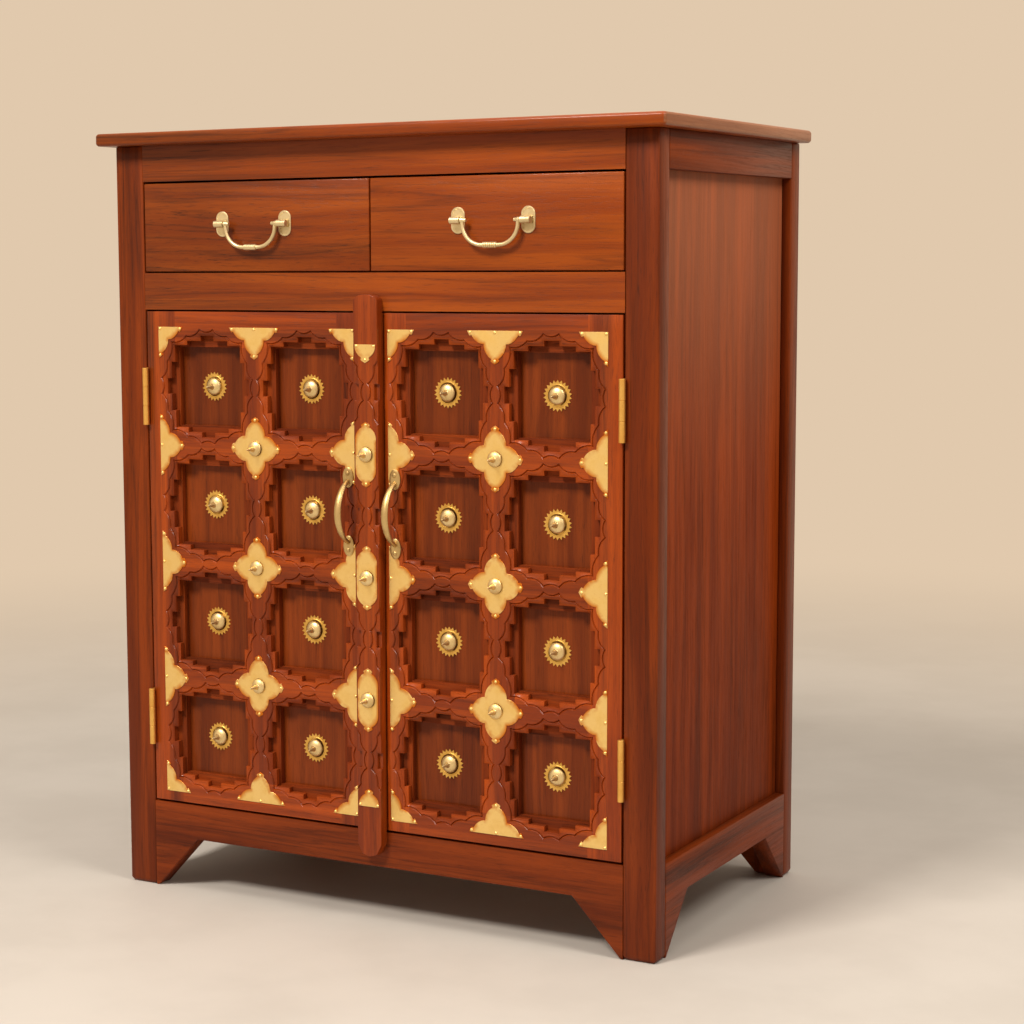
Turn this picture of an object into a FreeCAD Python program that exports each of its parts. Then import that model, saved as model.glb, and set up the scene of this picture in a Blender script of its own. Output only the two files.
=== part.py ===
"""Carved cabinet: two inset drawers over a pair of carved lattice doors with brass plates.

Millimetres, +Z up, +X to the right seen from the front, and the front faces -Y.
The origin is on the floor, under the middle of the whole cabinet.
"""
import FreeCAD, Part
import math
import os

# Carcass
HEIGHT = 1120.0
WIDTH = 866.0
DEPTH = 514.0
SLAB_THICKNESS = 18.0
SLAB_SIDE_OVERHANG = 19.0
SLAB_FRONT_OVERHANG = 26.0
SLAB_EDGE_CHAMFER = 3.0
SLAB_CORNER_CHAMFER = 4.0
POST_WIDTH = 48.0
POST_DEPTH = 33.0
FOOT_CHAMFER = 4.0
TOP_RAIL_HEIGHT = 52.0
MIDDLE_RAIL_HEIGHT = 53.0
BASE_RAIL_HEIGHT = 51.5
FLOOR_CLEARANCE = 78.0
BRACKET_RUN = 76.0
BRACKET_TOE = 3.0
DRAWER_OPENING = 132.0
SIDE_RAIL_THICKNESS = 28.0
SIDE_RECESS = 15.0
SIDE_PANEL_THICKNESS = 8.0
REAR_RAIL_THICKNESS = 22.0
REAR_RECESS = 8.0
BACK_PANEL_THICKNESS = 6.0
PANEL_GROOVE = 6.0

# Boards inside the carcass
BOARD_THICKNESS = 15.0
DOOR_STOP_RISE = 8.0
SHELF_HEIGHT_SHARE = 0.5
SHELF_SETBACK = 45.0
CLEAT = 18.0

# Door leaves
DOOR_THICKNESS = 29.0
DOOR_BACK_GAP = 0.4
DOOR_TOP_GAP = 2.5
DOOR_BOTTOM_GAP = 3.5
DOOR_SIDE_GAP = 2.6
MEETING_GAP = 2.2
LATTICE_INNER_EDGE = 27.0
LATTICE_OUTER_MARGIN = 20.8
LATTICE_TOP_MARGIN = 22.5
LATTICE_BOTTOM_MARGIN = 15.0
CELL_COLUMNS = 2
CELL_ROWS = 4

# Carved edges of the lattice: half widths of a bar, measured from the middle of the bar
BAR_CORNER = 20.5
BAR_SHOULDER = 12.0
BAR_PINCH = 2.0
TREAD_CORNER = 26.5
TREAD_MIDDLE = 16.5
BAR_INNER_EDGE = 29.0
CUSP_INNER = 12.0
CUSP_OUTER = 36.0
LOBE_RISE = 4.2
LOBE_FACETS = 3
LOBE_DEPTH = 3.0
STEP_DEPTH = 11.5
CELL_PANEL_DEPTH = 21.0

# Brass plates and bosses
PLATE_THICKNESS = 1.0
PLATE_TIP = 45.5
PLATE_NOTCH = 18.0
NECK_REACH = 38.3
NECK_HALF = 5.8
BUD_REACH = 40.5
BUD_HALF = 7.0
FLANK_RISE = 3.3
FLANK_FACETS = 2
LONG_PLATE_HALF = 16.5
LONG_PLATE_SHOULDER = 20.0
END_PLATE_LENGTH = 31.0
PLATE_BOSS_RADIUS = 11.0
PLATE_BOSS_HEIGHT = 22.0
BOSS_SIDES = 6
DOME_HEIGHT_SHARE = 0.62
DOME_SHOULDER_SHARES = (0.8, 0.37)
SPIKE_BASE_SHARE = 0.38
SPIKE_TIP_SHARE = 0.1

# Toothed rosettes
ROSETTE_TIP_RADIUS = 21.5
ROSETTE_ROOT_RADIUS = 17.5
ROSETTE_TEETH = 10
ROSETTE_THICKNESS = 1.2
ROSETTE_BOSS_RADIUS = 12.5
ROSETTE_BOSS_HEIGHT = 20.8

# Centre batten
BATTEN_WIDTH = 38.0
BATTEN_THICKNESS = 15.5
BATTEN_TOP_LAP = 23.0
BATTEN_BOTTOM_LAP = 33.5
BATTEN_CROWN = 9.0
BATTEN_CROWN_FACETS = 8
BATTEN_TONGUE = 18.0
BATTEN_TONGUE_HALF = 11.0
BATTEN_TONGUE_ROUND = 3.0
BATTEN_RELIEF = 0.5
BATTEN_STEP_DEPTH = 7.0

# Door pulls
PULL_LENGTH = 126.0
PULL_FROM_CENTRE = 38.0
PULL_HEIGHT_SHARE = 0.6185
PULL_REACH = 33.0
PULL_PLATE_LENGTH = 29.0
PULL_PLATE_WIDTH = 17.0
PULL_PLATE_THICKNESS = 2.5
PULL_BOW_WIDTH = 10.5
PULL_BOW_END_WIDTH = 7.0
PULL_BOW_THICKNESS = 5.5
PULL_BOW_SPANS = 6
PULL_SIDES = 8
PULL_LEAF_FACETS = 4

# Butt hinges
HINGE_LENGTH = 84.0
HINGE_KNUCKLE_RADIUS = 4.5
HINGE_PIN_RADIUS = 2.0
HINGE_CLEARANCE = 0.05
HINGE_LEAF_DEPTH = 22.0
HINGE_LEAF_THICKNESS = 1.1
HINGE_KNUCKLES = 3
HINGE_KNUCKLE_SIDES = 8
HINGE_KNUCKLE_GAP = 0.3
HINGE_STAND_OFF = 0.2
HINGE_HEIGHT_SHARES = (0.173, 0.829)

# Catches behind the middle rail
CATCH_LENGTH = 40.0
CATCH_DEPTH = 14.0
CATCH_HEIGHT = 34.0
CATCH_LAP = 18.0
CATCH_FROM_CENTRE = 70.0

# Drawers
DRAWER_TOP_GAP = 3.0
DRAWER_BOTTOM_GAP = 2.0
DRAWER_SIDE_GAP = 2.0
DRAWER_MIDDLE_GAP = 2.0
DRAWER_FRONT_THICKNESS = 20.0
DRAWER_SIDE_THICKNESS = 12.0
DRAWER_SIDE_HEIGHT = 96.0
DRAWER_SIDE_INSET = 1.0
DRAWER_MIDDLE_INSET = 9.0
DRAWER_REAR_GAP = 12.0
DRAWER_BOTTOM_THICKNESS = 5.0
DRAWER_BOTTOM_RISE = 8.0
DRAWER_BOTTOM_GROOVE = 5.0
DRAWER_RUN_GAP = 0.3
GUIDE_GAP = 0.6
GUIDE_HEIGHT = 30.0

# Bail handles
BAIL_SPACING = 106.0
BAIL_HEIGHT_SHARE = 0.525
BAIL_DROP = 33.0
BAIL_RADIUS = 3.0
BAIL_PIN_RADIUS = 2.5
BAIL_STAND_OFF = 9.5
BAIL_SLEEVE_RADIUS = 4.3
BAIL_SLEEVE_LENGTH = 20.0
BAIL_SLEEVE_SIDES = 8
BAIL_HUB_RADIUS = 3.6
BAIL_HUB_LENGTH = 9.0
BAIL_STRAIGHT = 4.0
BAIL_SIDES = 6
BAIL_BEND_SPANS = 4
EYE_PLATE_WIDTH = 21.0
EYE_PLATE_HEIGHT = 36.0
EYE_PLATE_THICKNESS = 2.0
EYE_PLATE_FACETS = 4
EYE_RADIUS = 5.0
EYE_SIDES = 8
EYE_LENGTH = 15.0
EYE_NECK_HEIGHT = 7.0
EYE_GAP = 0.5

# How far cutting shapes run past the wood
OVERRUN = 5.0

# Levels and planes that follow from the sizes
SLAB_BOTTOM = HEIGHT - SLAB_THICKNESS
TOP_RAIL_BOTTOM = SLAB_BOTTOM - TOP_RAIL_HEIGHT
DRAWER_FLOOR = TOP_RAIL_BOTTOM - DRAWER_OPENING
MIDDLE_RAIL_BOTTOM = DRAWER_FLOOR - MIDDLE_RAIL_HEIGHT
BASE_RAIL_TOP = FLOOR_CLEARANCE + BASE_RAIL_HEIGHT
OPENING_HALF = WIDTH / 2 - POST_WIDTH
FRONT_REACH = max(
    BATTEN_THICKNESS + PLATE_THICKNESS + PLATE_BOSS_HEIGHT,
    PLATE_THICKNESS + PULL_REACH,
    SLAB_FRONT_OVERHANG,
)
FACE_Y = (FRONT_REACH - DEPTH) / 2
REAR_Y = FACE_Y + DEPTH
FRONT_RAIL_THICKNESS = DOOR_THICKNESS + DOOR_BACK_GAP
SIDE_RAIL_FACE = WIDTH / 2 - SIDE_RAIL_THICKNESS
PANEL_OUTER_FACE = WIDTH / 2 - SIDE_RECESS
PANEL_INNER_FACE = PANEL_OUTER_FACE - SIDE_PANEL_THICKNESS
BACK_PANEL_INNER = REAR_Y - REAR_RECESS - BACK_PANEL_THICKNESS
DOOR_TOP = MIDDLE_RAIL_BOTTOM - DOOR_TOP_GAP
DOOR_BOTTOM = BASE_RAIL_TOP + DOOR_BOTTOM_GAP
DOOR_OUTER = OPENING_HALF - DOOR_SIDE_GAP
LATTICE_OUTER_EDGE = DOOR_OUTER - LATTICE_OUTER_MARGIN
LATTICE_TOP = DOOR_TOP - LATTICE_TOP_MARGIN
LATTICE_BOTTOM = DOOR_BOTTOM + LATTICE_BOTTOM_MARGIN
CELL_WIDTH = (LATTICE_OUTER_EDGE - LATTICE_INNER_EDGE) / CELL_COLUMNS
CELL_HEIGHT = (LATTICE_TOP - LATTICE_BOTTOM) / CELL_ROWS
BATTEN_HALF = BATTEN_WIDTH / 2
BATTEN_FACE_Y = FACE_Y - BATTEN_THICKNESS

pieces = {}


def vec(x, y, z):
    return FreeCAD.Vector(x, y, z)


def block(x_ends, y_ends, z_ends):
    """A box between two values on each axis, in either order."""
    low = vec(min(x_ends), min(y_ends), min(z_ends))
    size = vec(max(x_ends), max(y_ends), max(z_ends)) - low
    return Part.makeBox(size.x, size.y, size.z, low)


def moved(shape, x, y, z):
    copy = shape.copy()
    copy.translate(vec(x, y, z))
    return copy


def prism(wire, depth):
    """A closed outline in the XZ plane, made solid towards +Y."""
    return Part.Face(wire).extrude(vec(0, depth, 0))


def polygon(points):
    """A closed outline of straight lines in the XZ plane."""
    corners = [vec(x, 0, z) for x, z in points]
    return Part.makePolygon(corners + corners[:1])


def four_quarters(quarter):
    """Mirrors points, given clockwise from the top middle, into the four quarters of an outline."""
    right_low = [(x, -z) for x, z in reversed(quarter)]
    left_low = [(-x, -z) for x, z in quarter]
    left_high = [(-x, z) for x, z in reversed(quarter)]
    return quarter + right_low + left_low + left_high


def bowed_points(start, end, rise, facets):
    """Points from start up to end, bowed away from the origin by rise. The end itself is left out."""
    run_x = end[0] - start[0]
    run_z = end[1] - start[1]
    length = math.hypot(run_x, run_z)
    side_x = run_z / length
    side_z = -run_x / length
    if side_x * (start[0] + end[0]) + side_z * (start[1] + end[1]) < 0:
        side_x = -side_x
        side_z = -side_z
    points = []
    for step in range(facets):
        share = step / facets
        bow = 4 * rise * share * (1 - share)
        points.append((start[0] + run_x * share + side_x * bow, start[1] + run_z * share + side_z * bow))
    return points


def ring(middle, across, along, sides):
    """The corners of a polygon inside the ellipse of two half axes."""
    corners = []
    for step in range(sides):
        angle = 2 * math.pi * (step + 1 / 2) / sides
        corners.append(middle + across * math.cos(angle) + along * math.sin(angle))
    return corners


def triangle(a, b, c):
    return Part.Face(Part.makePolygon([a, b, c, a]))


def facetted_solid(rings):
    """A solid of flat facets through a row of rings, closed at both ends."""
    faces = [Part.Face(Part.makePolygon(end + end[:1])) for end in (rings[0], rings[-1])]
    for low, high in zip(rings, rings[1:]):
        for index in range(len(low)):
            after = (index + 1) % len(low)
            faces.append(triangle(low[index], low[after], high[after]))
            faces.append(triangle(low[index], high[after], high[index]))
    solid = Part.Solid(Part.Shell(faces))
    if solid.Volume < 0:
        solid.reverse()
    return solid


def keep(node, *shapes):
    """Files the solids of one node under its name."""
    pieces[node] = list(shapes)


# Carcass


def foot_post(x_side, y_ends):
    """A corner post that runs down to the floor, eased round its foot."""
    post = block((x_side * OPENING_HALF, x_side * WIDTH / 2), y_ends, (0, SLAB_BOTTOM))
    foot_edges = [e for e in post.Edges if e.BoundBox.ZMax < FOOT_CHAMFER]
    return post.makeChamfer(FOOT_CHAMFER, foot_edges)


def base_rail_outline(low, high):
    """The base rail between two posts, with a straight bracket running down to each foot."""
    return [
        (low, 0),
        (low, BASE_RAIL_TOP),
        (high, BASE_RAIL_TOP),
        (high, 0),
        (high - BRACKET_TOE, 0),
        (high - BRACKET_RUN, FLOOR_CLEARANCE),
        (low + BRACKET_RUN, FLOOR_CLEARANCE),
        (low + BRACKET_TOE, 0),
    ]


def side_base_rail(x_side):
    """A side base rail: the front rail's outline, turned to run along the side."""
    outline = [
        vec(0, along, z) for along, z in base_rail_outline(FACE_Y + POST_DEPTH, REAR_Y - POST_DEPTH)
    ]
    face = Part.Face(Part.makePolygon(outline + outline[:1]))
    rail = face.extrude(vec(SIDE_RAIL_THICKNESS, 0, 0))
    return moved(rail, min(x_side * WIDTH / 2, x_side * SIDE_RAIL_FACE), 0, 0)


def top_slab():
    slab = block(
        (-WIDTH / 2 - SLAB_SIDE_OVERHANG, WIDTH / 2 + SLAB_SIDE_OVERHANG),
        (FACE_Y - SLAB_FRONT_OVERHANG, REAR_Y),
        (SLAB_BOTTOM, HEIGHT),
    )
    upright = [e for e in slab.Edges if e.BoundBox.ZLength > SLAB_THICKNESS / 2]
    slab = slab.makeChamfer(SLAB_CORNER_CHAMFER, upright)
    level = [e for e in slab.Edges if e.BoundBox.ZLength < SLAB_THICKNESS / 2]
    return slab.makeChamfer(SLAB_EDGE_CHAMFER, level)


def side_panel(x_side):
    return block(
        (x_side * PANEL_INNER_FACE, x_side * PANEL_OUTER_FACE),
        (FACE_Y + POST_DEPTH - PANEL_GROOVE, REAR_Y - POST_DEPTH + PANEL_GROOVE),
        (BASE_RAIL_TOP - PANEL_GROOVE, TOP_RAIL_BOTTOM + PANEL_GROOVE),
    )


def back_panel():
    return block(
        (-OPENING_HALF - PANEL_GROOVE, OPENING_HALF + PANEL_GROOVE),
        (BACK_PANEL_INNER, BACK_PANEL_INNER + BACK_PANEL_THICKNESS),
        (BASE_RAIL_TOP - PANEL_GROOVE, TOP_RAIL_BOTTOM + PANEL_GROOVE),
    )


def front_rail(low, high):
    return block((-OPENING_HALF, OPENING_HALF), (FACE_Y, FACE_Y + FRONT_RAIL_THICKNESS), (low, high))


def build_frame():
    """Posts and rails, grooved for the side and back panels, with the slab on top."""
    panels = {x_side: side_panel(x_side) for x_side in (-1, 1)}
    back = back_panel()
    front_y = (FACE_Y, FACE_Y + POST_DEPTH)
    rear_y = (REAR_Y - POST_DEPTH, REAR_Y)
    side_y = (FACE_Y + POST_DEPTH, REAR_Y - POST_DEPTH)
    side_top_rails = []
    for x_side, name in ((-1, "left"), (1, "right")):
        panel = panels[x_side]
        keep("post_front_" + name, foot_post(x_side, front_y).cut(panel))
        keep("post_rear_" + name, foot_post(x_side, rear_y).cut([panel, back]))
        keep("side_base_rail_" + name, side_base_rail(x_side).cut(panel))
        keep("side_panel_" + name, panel)
        rail_x = (x_side * SIDE_RAIL_FACE, x_side * WIDTH / 2)
        top_rail = block(rail_x, side_y, (TOP_RAIL_BOTTOM, SLAB_BOTTOM))
        side_top_rails.append(top_rail.cut(panel))
    keep("side_top_rails", *side_top_rails)
    keep("back_panel", back)
    keep("front_top_rail", front_rail(TOP_RAIL_BOTTOM, SLAB_BOTTOM))
    keep("front_middle_rail", front_rail(MIDDLE_RAIL_BOTTOM, DRAWER_FLOOR))
    base = prism(polygon(base_rail_outline(-OPENING_HALF, OPENING_HALF)), FRONT_RAIL_THICKNESS)
    keep("front_base_rail", moved(base, 0, FACE_Y, 0))
    rear_base = prism(polygon(base_rail_outline(-OPENING_HALF, OPENING_HALF)), REAR_RAIL_THICKNESS)
    keep("rear_base_rail", moved(rear_base, 0, REAR_Y - REAR_RAIL_THICKNESS, 0).cut(back))
    rear_top = block(
        (-OPENING_HALF, OPENING_HALF),
        (REAR_Y - REAR_RAIL_THICKNESS, REAR_Y),
        (TOP_RAIL_BOTTOM, SLAB_BOTTOM),
    )
    keep("rear_top_rail", rear_top.cut(back))
    keep("top_slab", top_slab())


def between_posts(board):
    """Notches a board's corners round the four posts."""
    posts = [
        block((x_side * OPENING_HALF, x_side * WIDTH / 2), y_ends, (0, SLAB_BOTTOM))
        for x_side in (-1, 1)
        for y_ends in ((FACE_Y, FACE_Y + POST_DEPTH), (REAR_Y - POST_DEPTH, REAR_Y))
    ]
    return board.cut(posts)


def build_boards():
    """The floor board, drawer deck and shelf, with the shelf's cleats."""
    front = FACE_Y + FRONT_RAIL_THICKNESS
    floor_top = BASE_RAIL_TOP + DOOR_STOP_RISE
    floor = block(
        (-SIDE_RAIL_FACE, SIDE_RAIL_FACE),
        (front, REAR_Y - REAR_RAIL_THICKNESS),
        (floor_top - BOARD_THICKNESS, floor_top),
    )
    keep("floor_board", between_posts(floor))
    deck = block(
        (-PANEL_INNER_FACE, PANEL_INNER_FACE),
        (front, BACK_PANEL_INNER),
        (DRAWER_FLOOR - BOARD_THICKNESS, DRAWER_FLOOR),
    )
    keep("drawer_deck", between_posts(deck))
    deck_bottom = DRAWER_FLOOR - BOARD_THICKNESS
    shelf_bottom = floor_top + (deck_bottom - floor_top) * SHELF_HEIGHT_SHARE
    shelf = block(
        (-PANEL_INNER_FACE, PANEL_INNER_FACE),
        (front + SHELF_SETBACK, BACK_PANEL_INNER),
        (shelf_bottom, shelf_bottom + BOARD_THICKNESS),
    )
    keep("shelf", between_posts(shelf))
    cleats = [
        block(
            (x_side * (PANEL_INNER_FACE - CLEAT), x_side * PANEL_INNER_FACE),
            (front + SHELF_SETBACK, REAR_Y - POST_DEPTH),
            (shelf_bottom - CLEAT, shelf_bottom),
        )
        for x_side in (-1, 1)
    ]
    keep("shelf_cleats", *cleats)


def build_catches():
    """Magnetic catches on the back of the middle rail, behind the doors' top edges."""
    back = FACE_Y + FRONT_RAIL_THICKNESS
    bottom = MIDDLE_RAIL_BOTTOM - CATCH_LAP
    catches = []
    for x_side in (-1, 1):
        middle = x_side * CATCH_FROM_CENTRE
        x_ends = (middle - CATCH_LENGTH / 2, middle + CATCH_LENGTH / 2)
        catches.append(block(x_ends, (back, back + CATCH_DEPTH), (bottom, bottom + CATCH_HEIGHT)))
    keep("door_catches", *catches)


# Carved lattice


def cusp_points():
    """The points where the lobes of a cell's outline meet, round the cell's middle."""
    half_x = CELL_WIDTH / 2
    half_z = CELL_HEIGHT / 2
    return four_quarters([
        (CUSP_INNER, half_z - BAR_PINCH),
        (CUSP_OUTER, half_z - BAR_SHOULDER),
        (half_x - BAR_CORNER, half_z - BAR_CORNER),
        (half_x - BAR_SHOULDER, CUSP_OUTER),
        (half_x - BAR_PINCH, CUSP_INNER),
    ])


def lobed_outline():
    """The carved outline of a cell: lobes that bulge into the cell between outward cusps."""
    cusps = cusp_points()
    points = []
    for start, end in zip(cusps, cusps[1:] + cusps[:1]):
        points += bowed_points(start, end, -LOBE_RISE, LOBE_FACETS)
    return polygon(points)


def stepped_outline():
    """The square steps that follow the lobes on the layer below."""
    half_x = CELL_WIDTH / 2
    half_z = CELL_HEIGHT / 2
    return polygon(four_quarters([
        (CUSP_OUTER, half_z - TREAD_MIDDLE),
        (CUSP_OUTER, half_z - TREAD_CORNER),
        (half_x - TREAD_CORNER, half_z - TREAD_CORNER),
        (half_x - TREAD_CORNER, CUSP_OUTER),
        (half_x - TREAD_MIDDLE, CUSP_OUTER),
    ]))


def centred_rectangle(half_x, half_z):
    return polygon([(-half_x, -half_z), (-half_x, half_z), (half_x, half_z), (half_x, -half_z)])


def layered_cut(layers):
    """Fuses outlines into one cutting shape: each runs from the face down to its own depth."""
    tools = [moved(prism(wire, depth + OVERRUN), 0, -OVERRUN, 0) for wire, depth in layers]
    return tools[0].fuse(tools[1:])


def inner_opening():
    """The square opening that is left between the bars of the frame."""
    return centred_rectangle(CELL_WIDTH / 2 - BAR_INNER_EDGE, CELL_HEIGHT / 2 - BAR_INNER_EDGE)


def cell_cutter():
    """What is carved from the frame for one cell, its middle on the face at the origin."""
    return layered_cut([(lobed_outline(), LOBE_DEPTH), (stepped_outline(), STEP_DEPTH)])


def cell_panel():
    """The flat panel let into one opening from behind, flush with the back of the door."""
    panel = prism(inner_opening(), DOOR_THICKNESS - CELL_PANEL_DEPTH)
    return moved(panel, 0, CELL_PANEL_DEPTH, 0)


def cell_middles(x_side):
    """The middles of one door's cells, as (x, z)."""
    return [
        (
            x_side * (LATTICE_INNER_EDGE + (column + 1 / 2) * CELL_WIDTH),
            LATTICE_BOTTOM + (row + 1 / 2) * CELL_HEIGHT,
        )
        for column in range(CELL_COLUMNS)
        for row in range(CELL_ROWS)
    ]


def row_line(row):
    return LATTICE_BOTTOM + row * CELL_HEIGHT


def column_line(column):
    return LATTICE_INNER_EDGE + column * CELL_WIDTH


def door_members(x_side, meeting_edge):
    """The plain sticks of one door frame, by name, before the cells are carved out."""
    def stick(near, far, low, high):
        return block((x_side * near, x_side * far), (FACE_Y, FACE_Y + DOOR_THICKNESS), (low, high))

    inner = LATTICE_INNER_EDGE + BAR_INNER_EDGE
    outer = LATTICE_OUTER_EDGE - BAR_INNER_EDGE
    low = LATTICE_BOTTOM + BAR_INNER_EDGE
    high = LATTICE_TOP - BAR_INNER_EDGE
    members = {
        "meeting_stile": [stick(meeting_edge, inner, DOOR_BOTTOM, DOOR_TOP)],
        "hinge_stile": [stick(outer, DOOR_OUTER, DOOR_BOTTOM, DOOR_TOP)],
        "top_rail": [stick(inner, outer, high, DOOR_TOP)],
        "bottom_rail": [stick(inner, outer, DOOR_BOTTOM, low)],
        "muntin": [
            stick(column_line(column) - BAR_INNER_EDGE, column_line(column) + BAR_INNER_EDGE, low, high)
            for column in range(1, CELL_COLUMNS)
        ],
        "cross_rails": [
            stick(
                column_line(column) + BAR_INNER_EDGE,
                column_line(column + 1) - BAR_INNER_EDGE,
                row_line(row) - BAR_INNER_EDGE,
                row_line(row) + BAR_INNER_EDGE,
            )
            for column in range(CELL_COLUMNS)
            for row in range(1, CELL_ROWS)
        ],
    }
    return members


def carve(stick, cutters):
    """Cuts the cells that reach into one stick."""
    reach = stick.BoundBox
    return stick.cut([cutter for cutter in cutters if cutter.BoundBox.intersect(reach)])


def build_lattice(name, x_side, meeting_edge):
    """One door's carved frame and its panels."""
    cutter = cell_cutter()
    middles = cell_middles(x_side)
    cutters = [moved(cutter, x, FACE_Y, z) for x, z in middles]
    for member, sticks in door_members(x_side, meeting_edge).items():
        keep(name + "_door_" + member, *[carve(stick, cutters) for stick in sticks])
    keep(name + "_door_panels", *[moved(cell_panel(), x, FACE_Y, z) for x, z in middles])


# Brass plates, bosses and rosettes


def petal_end(width_half, shoulder):
    """A petal's outline from its left shoulder, over the tip at the top, to its right shoulder."""
    flank = bowed_points((NECK_HALF, NECK_REACH), (width_half, shoulder), FLANK_RISE, FLANK_FACETS)
    right = [(BUD_HALF, BUD_REACH)] + flank + [(width_half, shoulder)]
    left = [(-x, z) for x, z in reversed(right)]
    return left + [(0, PLATE_TIP)] + right


def quarter_turned(points, turns):
    """Points turned clockwise by a number of quarter turns."""
    for _ in range(turns):
        points = [(z, -x) for x, z in points]
    return points


def thin_plate(points):
    """A plate of one outline, its back on the XZ plane."""
    return moved(prism(polygon(points), PLATE_THICKNESS), 0, -PLATE_THICKNESS, 0)


def flower_plate():
    """A plate of four pointed petals that meet at notches."""
    petal = petal_end(PLATE_NOTCH, PLATE_NOTCH)[:-1]
    return thin_plate([point for turns in range(4) for point in quarter_turned(petal, turns)])


def long_plate():
    """A plate with straight sides and a pointed petal at each end."""
    end = petal_end(LONG_PLATE_HALF, LONG_PLATE_SHOULDER)
    return thin_plate(end + quarter_turned(end, 2))


def boss(radius, height):
    """A domed boss with a tapered spike, standing on the XZ plane and pointing to -Y."""
    dome_height = radius * DOME_HEIGHT_SHARE
    shoulder_radius, shoulder_height = DOME_SHOULDER_SHARES
    levels = [
        (radius, 0),
        (radius * shoulder_radius, radius * shoulder_height),
        (radius * SPIKE_BASE_SHARE, dome_height),
        (radius * SPIKE_TIP_SHARE, height),
    ]
    return facetted_solid([
        ring(vec(0, -out, 0), vec(width, 0, 0), vec(0, 0, width), BOSS_SIDES) for width, out in levels
    ])


def rosette():
    """A thin disc with pointed teeth, its back on the XZ plane."""
    points = []
    for step in range(2 * ROSETTE_TEETH):
        angle = math.pi * step / ROSETTE_TEETH
        radius = ROSETTE_ROOT_RADIUS if step % 2 else ROSETTE_TIP_RADIUS
        points.append((radius * math.sin(angle), radius * math.cos(angle)))
    return moved(prism(polygon(points), ROSETTE_THICKNESS), 0, -ROSETTE_THICKNESS, 0)


def lattice_plates(x_side):
    """Flower plates at the crossings, cut to halves and quarters along the lattice's edge."""
    flower = flower_plate()
    field = block(
        (x_side * LATTICE_INNER_EDGE, x_side * LATTICE_OUTER_EDGE),
        (FACE_Y - PLATE_THICKNESS, FACE_Y),
        (LATTICE_BOTTOM, LATTICE_TOP),
    )
    return [
        moved(flower, x_side * column_line(column), FACE_Y, row_line(row)).common(field)
        for column in range(CELL_COLUMNS + 1)
        for row in range(CELL_ROWS + 1)
    ]


def build_brass(name, x_side):
    """The plates, bosses and rosettes of one door."""
    keep(name + "_door_plates", *lattice_plates(x_side))
    plate_boss = boss(PLATE_BOSS_RADIUS, PLATE_BOSS_HEIGHT)
    rosette_boss = boss(ROSETTE_BOSS_RADIUS, ROSETTE_BOSS_HEIGHT)
    disc = rosette()
    panel_y = FACE_Y + CELL_PANEL_DEPTH
    bosses = [
        moved(plate_boss, x_side * column_line(column), FACE_Y - PLATE_THICKNESS, row_line(row))
        for column in range(1, CELL_COLUMNS)
        for row in range(1, CELL_ROWS)
    ]
    bosses += [
        moved(rosette_boss, x, panel_y - ROSETTE_THICKNESS, z) for x, z in cell_middles(x_side)
    ]
    keep(name + "_door_bosses", *bosses)
    keep(name + "_door_rosettes", *[moved(disc, x, panel_y, z) for x, z in cell_middles(x_side)])


# Centre batten


def batten_outline(bottom, top):
    """Straight sides, a low crown at the top and a tongue at the bottom."""
    half = BATTEN_HALF
    crown = top - BATTEN_CROWN
    low_end = bottom + BATTEN_TONGUE_ROUND
    arch = []
    for step in range(BATTEN_CROWN_FACETS + 1):
        angle = math.pi * (step / BATTEN_CROWN_FACETS - 1 / 2)
        arch.append((half * math.sin(angle), crown + BATTEN_CROWN * math.cos(angle)))
    tongue = [
        (half, bottom + BATTEN_TONGUE),
        (BATTEN_TONGUE_HALF, low_end),
        (0, bottom),
        (-BATTEN_TONGUE_HALF, low_end),
        (-half, bottom + BATTEN_TONGUE),
    ]
    return polygon(arch + tongue)


def centre_batten():
    """The batten over the meeting line, carved along both edges like a bar of the lattice."""
    bottom = DOOR_BOTTOM - BATTEN_BOTTOM_LAP - DOOR_BOTTOM_GAP
    top = DOOR_TOP + BATTEN_TOP_LAP + DOOR_TOP_GAP
    batten = moved(prism(batten_outline(bottom, top), BATTEN_THICKNESS), 0, BATTEN_FACE_Y, 0)
    edge_cut = layered_cut([(lobed_outline(), LOBE_DEPTH), (stepped_outline(), BATTEN_STEP_DEPTH)])
    cutters = [
        moved(edge_cut, x_side * CELL_WIDTH / 2, BATTEN_FACE_Y, row_line(row + 1 / 2))
        for x_side in (-1, 1)
        for row in range(CELL_ROWS)
    ]
    for z_ends in ((bottom - OVERRUN, DOOR_BOTTOM), (DOOR_TOP, top + OVERRUN)):
        cutters.append(block((-BATTEN_WIDTH, BATTEN_WIDTH), (FACE_Y - BATTEN_RELIEF, FACE_Y), z_ends))
    return batten.cut(cutters)


def build_batten():
    keep("centre_batten", centre_batten())
    plate = long_plate()
    lower_end = block(
        (-BATTEN_WIDTH, BATTEN_WIDTH),
        (-PLATE_THICKNESS, 0),
        (-PLATE_TIP, END_PLATE_LENGTH - PLATE_TIP),
    )
    end_plate = plate.common(lower_end)
    plates = [moved(plate, 0, BATTEN_FACE_Y, row_line(row)) for row in range(1, CELL_ROWS)]
    rise = PLATE_TIP - END_PLATE_LENGTH - BAR_CORNER
    plates.append(moved(end_plate, 0, BATTEN_FACE_Y, LATTICE_TOP + rise))
    flipped = end_plate.mirror(vec(0, 0, 0), vec(0, 0, 1))
    plates.append(moved(flipped, 0, BATTEN_FACE_Y, LATTICE_BOTTOM - rise))
    keep("centre_batten_plates", *plates)
    spike = boss(PLATE_BOSS_RADIUS, PLATE_BOSS_HEIGHT)
    seat = BATTEN_FACE_Y - PLATE_THICKNESS
    keep("centre_batten_bosses", *[moved(spike, 0, seat, row_line(row)) for row in range(1, CELL_ROWS)])


# Door furniture


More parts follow.
